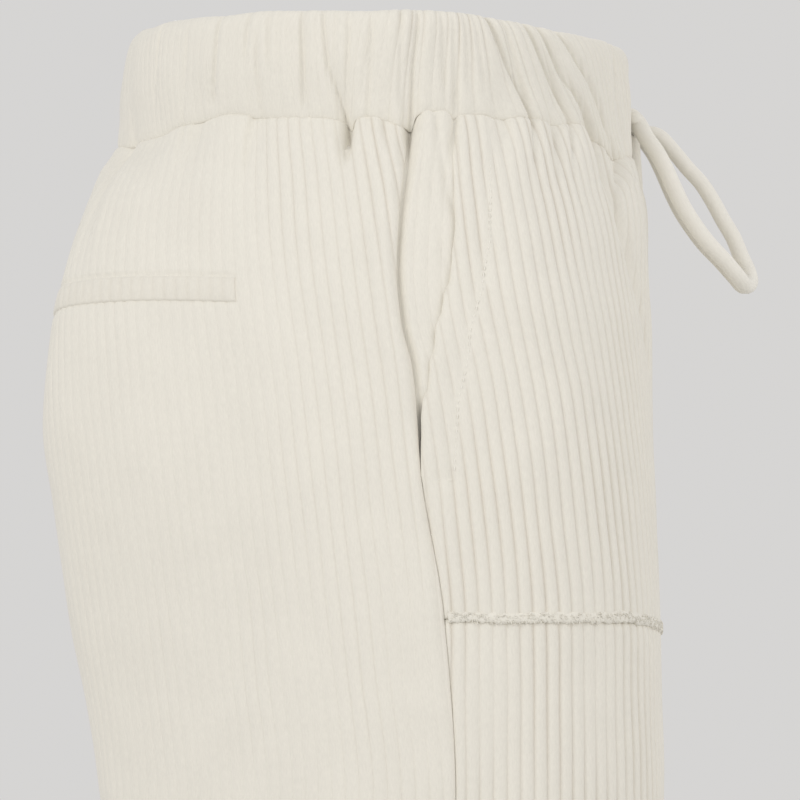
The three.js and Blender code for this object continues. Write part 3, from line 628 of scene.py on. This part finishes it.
# Each panel: depths and spacings of its rows, its edges and wale line as runs, how soon its wales
# taper at each edge, and its groove and shape. Those that start at the band are tucked in under it.
underBand = [(bandHeight - 2.4, 2.4), (bandHeight, 0.8)]
frontUpper = {
    "rows": steppedDepths(underBand + [(50, 2.5), (196, 4), (238, 1), (thighSeam, 1)]),
    "edges": lambda rings: (inseam(rings), frontEdge(rings)),
    "grain": grainOf(frontGrain),
    "tips": {"side": 2.6, "top": 2.5, "bottom": 2},
    "groove": frontGroove,
    "shape": frontShape,
}
frontLower = {
    "rows": steppedDepths([(thighSeam, 0.7), (251, 3), (310, 8), (1010, 2), (hemDepth, 1)]),
    "edges": lambda rings: (inseam(rings), rings["seam"]),
    "grain": grainOf(frontGrain),
    "tips": {"side": 2.4, "top": 4.5, "bottom": 1.5},
    "groove": frontGroove,
    "shape": lowerShape,
}
back = {
    "rows": steppedDepths(underBand + [(50, 3), (98, 1), (124, 4), (310, 9), (1010, 2), (hemDepth, 1)]),
    "edges": lambda rings: (rings["seam"], rings["length"] - inseam(rings)),
    "grain": grainOf(backGrain),
    "tips": {"side": 2.4, "top": 2.5, "bottom": 1.5},
    "groove": backGroove,
    "shape": backShape,
}
facing = {
    "rows": steppedDepths(underBand + [(50, 2.5), (206, 1)]),
    "edges": lambda rings: (pocketRunOf(rings) - 15, rings["seam"] + 5),
    "grain": lambda rings: rings["seam"] - 1.5,
    "tips": {"side": 3, "top": 2.5, "bottom": 2},
    "groove": facingGroove,
    "shape": facingShape,
}


def addNode(nodes, kind, values):
    # shader node of a kind with its inputs' values
    node = nodes.new("ShaderNode" + kind)
    setInputs(node, values)
    return node


def setInputs(node, values):
    # constant values of a node's inputs by name
    for name, value in values.items():
        node.inputs[name].default_value = value


def clothMaterial(name, groove, crest, nap):
    # cream pile: colour = ramp by pile height * slow mottle * fine nap, and the nap is its bump too; the
    # ramp's darker groove colour is painted shade at the bottom of each groove
    material = bpy.data.materials.new(name)
    material.use_nodes = True
    nodes, links = material.node_tree.nodes, material.node_tree.links
    shader = nodes["Principled BSDF"]
    finish = {"Roughness": 0.95, "Specular IOR Level": 0.1, "Sheen Weight": 0.35, "Sheen Roughness": 0.5}
    setInputs(shader, finish)
    pile = nodes.new("ShaderNodeAttribute")
    pile.attribute_name = "pile"
    ramp = nodes.new("ShaderNodeValToRGB")
    for stop, position, color in zip(ramp.color_ramp.elements, (0.05, 0.7), (groove, crest)):
        stop.position = position
        stop.color = (*color, 1)
    grain = nodes.new("ShaderNodeUVMap")
    grain.uv_map = "grain"
    stretch = addNode(nodes, "Mapping", {"Scale": (1, 0.22, 1)})
    fibres = addNode(nodes, "TexNoise", {"Scale": nap, "Detail": 6, "Roughness": 0.7})
    mottle = addNode(nodes, "TexNoise", {"Scale": 45, "Detail": 4})
    middle = {"From Min": 0.3, "From Max": 0.7}
    shade = addNode(nodes, "MapRange", {**middle, "To Min": 0.975, "To Max": 1.0})
    fuzz = addNode(nodes, "MapRange", {**middle, "To Min": 0.94, "To Max": 1.02})
    both = nodes.new("ShaderNodeMath")
    both.operation = "MULTIPLY"
    tone = nodes.new("ShaderNodeVectorMath")
    tone.operation = "SCALE"
    bump = addNode(nodes, "Bump", {"Strength": 0.3, "Distance": 0.0004})
    wires = [
        (pile, "Fac", ramp, "Fac"), (grain, "UV", stretch, "Vector"), (grain, "UV", mottle, "Vector"),
        (stretch, "Vector", fibres, "Vector"), (mottle, "Fac", shade, "Value"), (shade, "Result", both, 0),
        (fibres, "Fac", fuzz, "Value"), (fuzz, "Result", both, 1), (ramp, "Color", tone, 0),
        (both, "Value", tone, "Scale"), (tone, "Vector", shader, "Base Color"),
        (fibres, "Fac", bump, "Height"), (bump, "Normal", shader, "Normal"),
    ]
    for source, output, target, socket in wires:
        links.new(source.outputs[output], target.inputs[socket])
    return material


def plainMaterial(name, color, roughness):
    # one even colour
    material = bpy.data.materials.new(name)
    material.use_nodes = True
    shader = material.node_tree.nodes["Principled BSDF"]
    setInputs(shader, {"Base Color": (*color, 1), "Roughness": roughness})
    return material


def addCamera():
    # a long way off on the wearer's right and a little below, looking up, as in the photograph
    target, distance, climb, field = Vector((0, -0.009, -0.1248)), 4.7, radians(-3.5), 0.328
    camera = bpy.data.cameras.new("camera")
    camera.lens = camera.sensor_width * distance / field
    camera.clip_end = 50
    place = bpy.data.objects.new("camera", camera)
    place.location = target + Vector((-cos(climb), 0, sin(climb))) * distance
    place.rotation_euler = (target - place.location).to_track_quat("-Z", "Y").to_euler()
    bpy.context.scene.collection.objects.link(place)
    bpy.context.scene.camera = place


def smoothRoute(points, steps):
    # centripetal Catmull-Rom curve through the points
    points = np.array(points, float)
    padded = np.vstack([2 * points[0] - points[1], points, 2 * points[-1] - points[-2]])
    knots = np.concatenate([[0], np.cumsum(np.sqrt(np.linalg.norm(np.diff(padded, axis=0), axis=1)))])
    at = np.linspace(knots[1], knots[-2], steps + 1)
    i = np.clip(np.searchsorted(knots, at, side="right") - 1, 1, len(points) - 1)

    def blend(a, b, low, high):
        # from a to b as the knot's value goes from one to the other
        share = ((at - knots[low]) / (knots[high] - knots[low]))[:, None]
        return a * (1 - share) + b * share

    first = blend(padded[i - 1], padded[i], i - 1, i)
    second = blend(padded[i], padded[i + 1], i, i + 1)
    third = blend(padded[i + 1], padded[i + 2], i + 1, i + 2)
    return blend(blend(first, second, i - 1, i + 1), blend(second, third, i, i + 2), i, i + 1)


def tubeGrid(path, radius, sides):
    # rings square to the path, carried along it without twist
    path = np.asarray(path, float)
    radius = np.broadcast_to(radius, len(path))
    tangent = np.gradient(path, axis=0)
    tangent /= np.linalg.norm(tangent, axis=1, keepdims=True)
    normal = np.cross(tangent[0], (1.0, 0.2, 0.1))
    frames = []
    for direction in tangent:
        normal = normal - direction * normal.dot(direction)
        normal = normal / np.linalg.norm(normal)
        frames.append((normal, np.cross(direction, normal)))
    frames = np.array(frames)
    turn = np.linspace(0, 2 * pi, sides, endpoint=False)
    c, s = np.cos(turn)[None, :, None], np.sin(turn)[None, :, None]
    around = frames[:, 0, None] * c + frames[:, 1, None] * s
    return path[:, None] + around * radius[:, None, None]


def closedTube(path, radius, sides, tip=4):
    # tube whose two ends close in rounded tips
    path = np.asarray(path, float)
    radius = np.broadcast_to(radius, len(path)).astype(float)
    away = [pi / 2 * k / tip for k in range(tip, 0, -1)]
    first, last = path[0] - path[1], path[-1] - path[-2]
    first, last = first / np.linalg.norm(first), last / np.linalg.norm(last)
    head = [path[0] + first * radius[0] * 0.7 * sin(a) for a in away]
    tail = [path[-1] + last * radius[-1] * 0.7 * sin(a) for a in away[::-1]]
    sizes = np.array([cos(a) * 0.999 + 0.001 for a in away])
    sizes = np.concatenate([sizes * radius[0], radius, sizes[::-1] * radius[-1]])
    grid = tubeGrid(np.vstack([head, path, tail]), sizes, sides)
    index, count = numbered(grid, closedDown=False), grid[..., 0].size
    faces = [gridFaces(index, False), fan(count, index[0]), fan(count + 1, index[-1, ::-1])]
    corners = np.vstack([grid.reshape(-1, 3), grid[0].mean(0), grid[-1].mean(0)])
    lengths = lengthsAlong(grid.mean(1))
    girth = np.linspace(0, 1, sides)[None, :] * radius[0] * 6
    uv = np.stack(np.broadcast_arrays(girth, lengths[:, None]), -1)
    return corners, np.vstack(faces), np.vstack([uv.reshape(-1, 2), [0, 0], [0, lengths[-1]]])


def lengthsAlong(points):
    # distance to each point along the line of them
    return np.concatenate([[0], np.cumsum(np.linalg.norm(np.diff(points, axis=0), axis=1))])


def tubesMesh(name, parts, material):
    # several tubes as one mesh with its pile at full height
    corners, faces, uv = zip(*parts)
    starts = np.cumsum([0, *map(len, corners)])
    faces = [part + start for part, start in zip(faces, starts)]
    corners = np.vstack(corners)
    pile = np.ones(len(corners))
    return makeMesh(name, corners, [np.vstack(faces)], np.vstack(uv), pile, material)


string = {"width": 6.5, "near": 3.55, "far": 2.95, "leftLift": 0.14, "leftEnd": 0.93}
loopRoute = [
    (9, 105.5, -10.4), (12, 107.4, -13.4), (16, 109.5, -18), (22, 114, -25), (26, 117.4, -32),
    (29, 120.8, -40), (31, 124.8, -48.4), (32, 129.6, -56), (32, 134.9, -63), (30, 141.2, -69.5),
    (26, 147, -76), (20, 150.3, -79.3), (14, 152.3, -77.4), (9.5, 151.6, -72.6), (7, 149.2, -67),
    (6, 146, -59), (6, 141.4, -51), (6, 137.4, -43.6), (6, 132.7, -36.2), (5.8, 126.9, -29.8),
    (5.5, 121.2, -22.8), (5, 115, -16.4), (4.4, 110, -15.2), (3.2, 105.5, -14.4),
]
endRoute = [
    (4, 103.8, -18.6), (4.3, 104.8, -32), (4.2, 105.8, -48), (4.2, 106.8, -64), (3.8, 108, -88),
    (4.4, 108.8, -112), (5.2, 109.4, -137),
]
knotShape = {"reach": 104, "height": -13, "wrap": 5.2, "flat": 0.75, "feed": (13, 105.4, -10)}


def placed(points, hand):
    # side, reach and height in millimetres as points in metres, on one hand's side
    return [(hand["sign"] * side * mm, -reach * mm, height * mm) for side, reach, height in points]


def addDrawstring(material):
    # two loops and two free ends along their routes
    cords = []
    for side, hand in handed.items():
        left = side == "left"
        loop = [(a, b, c + (string["leftLift"] * a if left else 0)) for a, b, c in loopRoute]
        share = string["leftEnd"] if left else 1
        end = [(a, b, endRoute[0][2] + (c - endRoute[0][2]) * share) for a, b, c in endRoute]
        for part, route, farEnd in (("loop", loop, "object"), ("end", end, "bare")):
            path = smoothRoute(placed(route, hand), 90)
            name = f"drawstring_{part}_{side}"
            thickness = np.linspace(string["near"], string["far"], len(path)) * mm
            piece = tubesMesh(name + "_cloth", [closedTube(path, thickness, 20)], material)
            length = float(lengthsAlong(path)[-1])
            finishPiece(piece, "string", name)
            cords.append((name, round(length, 4)))
    print("drawstring", cords)


def addKnot(material):
    # a turn of string over the crossing, and the two stretches that come out of the band into it
    knot, radius = knotShape, string["width"] / 2 * mm
    centre, deep = knot["reach"] - 1, knot["wrap"] * knot["flat"]
    turn = np.linspace(-0.2, 1.2, 25) * pi
    wrap = [(0, centre + deep * sin(a), knot["height"] + knot["wrap"] * cos(a)) for a in turn]
    parts = [closedTube(placed(wrap, handed["left"]), radius * 0.98, 20)]
    middle = (knot["feed"][0] / 2, knot["reach"] + 0.6, knot["height"] + 1)
    feed = [knot["feed"], middle, (1, knot["reach"], knot["height"])]
    for hand in handed.values():
        parts.append(closedTube(smoothRoute(placed(feed, hand), 14), radius * 0.9, 16))
    finishPiece(tubesMesh("drawstring_knot_cloth", parts, material), "string", "drawstring_knot")


def finishPiece(piece, slot, *nodes):
    # rides on the one body, in place of its solids
    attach(piece, "root")
    if nodes:
        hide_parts(*nodes)


bandProfile = table("depth inset rib", [
    (44, 0.9, 0.7), (43.7, 0.7, 0.8), (43, 0.45, 0.9), (41.5, 0.2, 1), (38, 0, 1), (34, 0, 1),
    (28, -0.3, 1), (22, -0.4, 1), (16, -0.3, 1), (10, 0, 1), (6.5, 0.3, 1), (4, 0.8, 1), (2.2, 1.5, 1),
    (1, 2.3, 0.9), (0.3, 3.1, 0.8), (0, 3.9, 0.7), (0.4, 4.7, 0.6), (1.4, 5.3, 0.5), (4, 5.7, 0.5),
    (14, 5.9, 0.5), (30, 5.9, 0.5), (42, 5.7, 0.4), (44, 4.9, 0),
])
# Wales round the band, columns for each, their width in the noise and how flat their crests are.
band = {"wales": 146, "columns": 14, "pitch": 5, "crest": 2.6, "outside": 1.2, "inside": 0.6}
# How deep the band's grooves are, by forward reach; this also sets the painted shade in them, least at the
# back, which faces the light.
bandPile = table("reach depth", [
    (-130, 0.2), (-50, 0.22), (0, 0.35), (14, 0.62), (45, 0.6), (62, 0.4), (105, 0.5),
])
# The band's wales lean where the string pulls: forward reach of one wale at its top and bottom.
bandLean = table("top bottom", [
    (-98, -98), (-66, -67), (-44, -44), (-22, -19), (-1, -9), (17, 13), (36, 36), (47, 59), (63, 78),
    (74, 90), (86, 97), (95, 101),
])


def leaning(share):
    # where on the band's bottom edge each wale ends that starts at this share of its top edge
    edges = []
    for name, depth in (("top", 0.0), ("bottom", float(bandHeight))):
        ring = ringsAt(np.array([depth]), 0)
        runs = [runAtReach(ring, reach)[0] for reach in bandLean[name][::-1]]
        edges.append([0, *(np.array(runs) / ring["length"][0]), 1])
    return np.interp(share, *edges)


def bandHalf(phase, hand):
    # one side of the band: the profile swept round, its wales pressed by gathers and pinched at the seam
    depth, inset, rib = bandProfile.values()
    down = depth[:, None]
    ring = ringsAt(depth, 0)
    share = phase / (band["wales"] // 2)
    place = phase * band["pitch"]
    t = down / bandHeight
    wander = 0.3 * waves(place[None, :], down, 60, hand["seed"] + 5)
    run = (share * (1 - t) + leaning(share) * t) * ring["length"][:, None] + wander * hill(t - 0.5, 0.5)
    run = np.clip(run, 0, ring["length"][:, None])
    seamPlace = ring["seam"][:, None] - run
    level = foldRise(ring, run, hand) + gatherRise(ring, run, hand)
    level = level - 1.6 * gathered("pinch", seamPlace, hand) * smoothStep(18, 44, down)
    level = level + 0.35 * waves(run, down, 34, hand["seed"] + 6)
    crest = (1 - np.abs(2 * (phase % 1) - 1) ** band["crest"])[None, :]
    # share of groove depth, which also sets how much painted shade the grooves carry
    grooveAndShade = np.interp(pick(ring, "reach", run), bandPile["reach"], bandPile["depth"])
    grooveAndShade = grooveAndShade * (1 + 0.5 * waves(place[None, :], down * 0.3, 30, hand["seed"] + 4))
    crest = 1 - (1 - crest) * np.clip(grooveAndShade, 0.1, 1)
    onOutside = (np.arange(len(depth)) <= depth.argmin())[:, None]
    ribs = np.where(onOutside, band["outside"], -band["inside"]) * crest * rib[:, None]
    lift = level - inset[:, None] + ribs
    arches = gathered("rise", seamPlace, hand) * hand["strength"] * smoothStep(10, 44, down)
    ragged = 0.35 * crest * hill(down, 3) + 0.5 * waves(run, 0 * run, 46, 9) * hill(down, 8)
    height = bandHeight / 2 - down + arches + tiltRise(ring, run) + ragged
    corners = liftedPoints(ring, run, lift, height, hand, least=-np.inf)
    along = np.cumsum(np.hypot(*np.gradient(np.stack([depth, inset]), axis=1)))[:, None]
    uv = np.stack(np.broadcast_arrays(place[None, :], along), -1) * mm
    return corners, crest * rib[:, None], uv


def addWaistband(material):
    # both halves joined into one closed ring
    phase = np.arange(band["wales"] // 2)[:, None] + np.arange(band["columns"]) / band["columns"]
    right, left = [bandHalf(phase.ravel(), hand) for hand in handed.values()]
    left = [part[:, ::-1][:, :-1] for part in left]
    left[2] = left[2] + np.array([2.0, 0])
    grid, pile, uv = [np.concatenate(parts, axis=1) for parts in zip(right, left)]
    corners, faces = grid.reshape(-1, 3), [gridFaces(numbered(grid), False)]
    piece = makeMesh("waistband_cloth", corners, faces, uv.reshape(-1, 2), pile.ravel(), material)
    finishPiece(piece, "band_corduroy", "waistband")
    print("waistband", len(piece.data.polygons))


def addPanels(material):
    # each panel on both sides; its flat size and area as cut are only listed, not used
    cuts = {
        "front_upper": (frontUpper, (0.250, 0.215), 0.046),
        "front_lower": (frontLower, (0.320, 0.790), 0.235),
        "back": (back, (0.370, 0.990), 0.300),
        "pocket_facing": (facing, (0.045, 0.165), None),
    }
    for name, (spec, flat, area) in cuts.items():
        for side, hand in handed.items():
            piece = clothPanel(f"{name}_{side}_cloth", spec, hand, material)
            finishPiece(piece, "corduroy", f"{name}_{side}")
            print(name, side, len(piece.data.polygons))


def surfacePoints(depth, place, lift, hand):
    # points over the cloth at a distance from the side seam, lifted along its normal
    depth, place, lift = np.broadcast_arrays(np.atleast_1d(depth).astype(float), place, lift)
    rings = ringsAt(depth)
    run = rings["seam"][:, None] - place[:, None]
    level = lift[:, None] + foldRise(rings, run, hand) + softUndulation(rings, run, hand)
    return liftedPoints(rings, run, level, heightOn(rings, run, hand), hand)[:, 0]


def strip(name, span, profile, hand, material, rib, wave):
    # band of cloth over a panel: its cross-section is the profile of depth share and lift
    t = np.linspace(0, 1, int(abs(span["to"] - span["from"]) / span["step"]) + 1)
    place = span["from"] + (span["to"] - span["from"]) * t
    ridge = 1 - np.abs(2 * ((place / rib["pitch"]) % 1) - 1) ** 2.4
    rows = []
    for share, lift, ribShare in profile:
        depth = span["top"] + (span["bottom"] - span["top"]) * share + wave(place, share, ridge)
        rows.append(surfacePoints(depth, place, lift + rib["rise"] * ribShare * ridge, hand))
    grid = np.array(rows)
    index, count = numbered(grid, closedAcross=False), grid[..., 0].size
    faces = [gridFaces(index, True), fan(count, index[::-1, 0]), fan(count + 1, index[:, -1])]
    faces = np.vstack(faces)
    if (hand["sign"] > 0) == (span["to"] < span["from"]):
        faces = faces[:, ::-1]
    across = np.array([share for share, _, _ in profile]) * abs(span["bottom"] - span["top"])
    uv = np.stack(np.broadcast_arrays(place[None, :], across[:, None]), -1).reshape(-1, 2) * mm
    uv = np.vstack([uv, uv[:1], uv[-1:]])
    pile = rib["pile"] * (1 - rib["groove"] * (1 - np.tile(ridge, len(grid))))
    pile = np.append(pile, [0.5, 0.5])
    corners = np.vstack([grid.reshape(-1, 3), grid[:, 0].mean(0), grid[:, -1].mean(0)])
    return makeMesh(name, corners, [faces], uv, pile, material)


def addWelts(material):
    # the back pocket's welt, nearly level with the pile around it
    profile = [
        (0, -0.6, 0), (0, 0.4, 0.2), (0.04, 1, 0.6), (0.14, 1.25, 1), (0.5, 1.35, 1), (0.86, 1.25, 1),
        (0.96, 0.9, 0.7), (1, 0.2, 0.2), (1, -0.6, 0),
    ]
    span = {"from": welt["start"], "to": welt["start"] - welt["length"], "step": 0.7}
    span = {**span, "top": welt["top"], "bottom": welt["bottom"]}

    def arch(place, share, ridge):
        # both edges follow the welt's line
        return weltArch((welt["start"] - place) / welt["length"])

    for side, hand in handed.items():
        name = f"back_welt_{side}"
        # a pile of 0.58 paints the whole welt a little darker: painted shade for its sunken place
        rib = {"pitch": corduroy["pitch"], "rise": 0.3, "pile": 0.58, "groove": 0.4}
        piece = strip(name + "_cloth", span, profile, hand, material, rib, arch)
        finishPiece(piece, "corduroy", name)


def addRawEdges(material):
    # the thigh seam's raw lip: flat, with a small tooth at each wale and loose fibre ends along it
    profile = [
        (-0.3, -0.4, 0), (-0.2, 0.5, 0.3), (0, 1.1, 0.8), (0.3, 1.5, 1), (0.7, 1.6, 1), (0.95, 1.4, 1),
        (1.04, 0.9, 0.5), (1, -0.4, 0),
    ]
    seamWave = table("place rise", [
        (-9, 0), (10, -0.2), (25, -0.6), (45, 0), (64, 0.2), (82, 1.2), (98, 0.6), (112, -0.6),
    ])
    ring = ringsAt(np.array([float(thighSeam)]))
    reachCentre = ring["seam"][0] - 4

    def teeth(place, share, ridge):
        # the seam's slow wave, plus a tooth for each wale and uneven fraying towards the lower edge
        level = 0 * place
        wave = -np.interp(place, seamWave["place"], seamWave["rise"])
        frayed = 0.3 * ridge + 0.45 * waves(place, level, 7, 31) + 0.25 * waves(place, level, 2.6, 32)
        return wave + share * frayed - 0.3 * (1 - share) * waves(place, level, 5, 33)

    top, bottom = 241.6, 244.8
    span = {"from": 1.5, "to": reachCentre, "step": 0.45, "top": top, "bottom": bottom}
    rib = {"pitch": 2.75, "rise": 0.15, "pile": 1, "groove": 0.25}
    for side, hand in handed.items():
        name = f"thigh_raw_edge_{side}"
        piece = strip(name + "_cloth", span, profile, hand, material, rib, teeth)
        finishPiece(piece, "corduroy", name)
        rng = np.random.default_rng(hand["seed"] + 8)
        parts = []
        for place in np.arange(2, reachCentre - 1, 0.28):
            depth = rng.uniform(top, bottom) - np.interp(place, seamWave["place"], seamWave["rise"])
            fall = rng.uniform(-1.2, 1.7)
            sway = rng.uniform(-0.5, 0.5)
            across = np.array([place, place + sway * 0.4, place + sway])
            lift = np.array([1.3, 1.8, 1.5]) + rng.uniform(-0.15, 0.3)
            points = surfacePoints([depth, depth + fall * 0.5, depth + fall], across, lift, hand)
            parts.append(closedTube(points, rng.uniform(0.12, 0.24) * mm, 4, tip=1))
        finishPiece(tubesMesh(f"thigh_fibres_{side}", parts, material), "corduroy")


def stitchRow(name, depths, places, lift, hand, material, stitch):
    # even stitches along a line over the cloth, each a thread that dips in at both ends
    t = np.linspace(0, 1, 400)
    known = np.linspace(0, 1, len(depths))
    depth, place = np.interp(t, known, depths), np.interp(t, known, places)
    run = lengthsAlong(surfacePoints(depth, place, 0, hand)) / mm
    dip = lift + np.array([-0.6, 0, 0.1, 0, -0.6])
    parts = []
    for start in np.arange(1, run[-1] - stitch["length"], stitch["pitch"]):
        at = np.interp(start + stitch["length"] * np.array([0, 0.25, 0.5, 0.75, 1]), run, t)
        points = surfacePoints(np.interp(at, t, depth), np.interp(at, t, place), dip, hand)
        parts.append(closedTube(points, stitch["thick"] * mm, 4, tip=1))
    finishPiece(tubesMesh(name, parts, material), "string")


def addStitching(material):
    # the row beside each pocket's edge, the tack at its foot, and the row round each hem
    pocketDepths = np.array([47, 60, 75, 93, 113, 133, 157, 187.0])
    stitch = {"length": 2.2, "pitch": 3.0, "thick": 0.22}
    for side, hand in handed.items():
        rings = ringsAt(pocketDepths)
        places = rings["seam"] - pocketRunOf(rings) + stitchGap(pocketDepths)
        stitchRow(f"pocket_stitches_{side}", pocketDepths, places, 0.8, hand, material, stitch)
        tackPlaces = np.linspace(2, 12.5, 8)
        tackDepths = pocketEnd + 1 + 0.35 * (-1.0) ** np.arange(8)
        tack = {**stitch, "pitch": 2.5}
        stitchRow(f"pocket_tack_{side}", tackDepths, tackPlaces, 0.4, hand, material, tack)
        ring = ringsAt(np.array([hemStitches]))
        front, whole = ring["seam"][0], ring["length"][0]
        ends = [front - 2, front - whole + 2]
        hem = {"length": 3.2, "pitch": 4.2, "thick": 0.3}
        stitchRow(f"hem_stitches_{side}", [hemStitches] * 2, ends, 0.75, hand, material, hem)


def addFloorAndLight():
    # pale floor just under the hems, an even grey surround and three soft lamps
    grey = plainMaterial("floor", (0.66, 0.655, 0.645), 0.9)
    square = [(-9, -9, 0), (9, -9, 0), (9, 9, 0), (-9, 9, 0)]
    floor = makeMesh("floor", square, [np.array([[0, 1, 2, 3]])], smooth=False, material=grey)
    floor.data.transform(Matrix.Translation((0, 0, cadBox[0][2] - 0.02)))
    world = bpy.context.scene.world or bpy.data.worlds.new("world")
    bpy.context.scene.world = world
    world.use_nodes = True
    setInputs(world.node_tree.nodes["Background"], {"Color": (0.672, 0.664, 0.655, 1), "Strength": 1.0})
    warm, pale, low = (1, 0.98, 0.95), (1, 0.985, 0.955), (0, 0, -0.15)
    lamps = {
        "key": {"place": (-2.4, 2.1, 1.0), "aim": low, "size": 2.6, "power": 37, "color": pale},
        "fill": {"place": (-1.9, -2.6, 0.5), "aim": low, "size": 2.6, "power": 22, "color": warm},
        "rim": {"place": (0.9, -3.0, 0.9), "aim": (0, 0, -0.1), "size": 2.2, "power": 6, "color": warm},
    }
    for name, lamp in lamps.items():
        light = bpy.data.lights.new(name, "AREA")
        light.shape = "DISK"
        light.size = lamp["size"]
        light.energy = lamp["power"]
        light.color = lamp["color"]
        place = bpy.data.objects.new(name, light)
        place.location = lamp["place"]
        away = Vector(lamp["aim"]) - place.location
        place.rotation_euler = away.to_track_quat("-Z", "Y").to_euler()
        bpy.context.scene.collection.objects.link(place)
    bpy.context.scene.view_settings.view_transform = "Standard"
    bpy.context.scene.view_settings.look = "None"


addCamera()
# first colour: painted shade at the bottom of the grooves; second: the crest's own colour
stringCloth = clothMaterial("string_velvet", (0.87, 0.845, 0.775), (0.9, 0.875, 0.81), 1500)
panelCloth = clothMaterial("corduroy_cream", (0.77, 0.73, 0.65), (0.85, 0.822, 0.75), 1500)
bandCloth = clothMaterial("corduroy_band", (0.77, 0.73, 0.65), (0.85, 0.822, 0.75), 1500)
thread = plainMaterial("cream_thread", (0.87, 0.85, 0.79), 0.7)
addDrawstring(stringCloth)
addKnot(stringCloth)
addWaistband(bandCloth)
addPanels(panelCloth)
addWelts(panelCloth)
addRawEdges(panelCloth)
addStitching(thread)
addFloorAndLight()
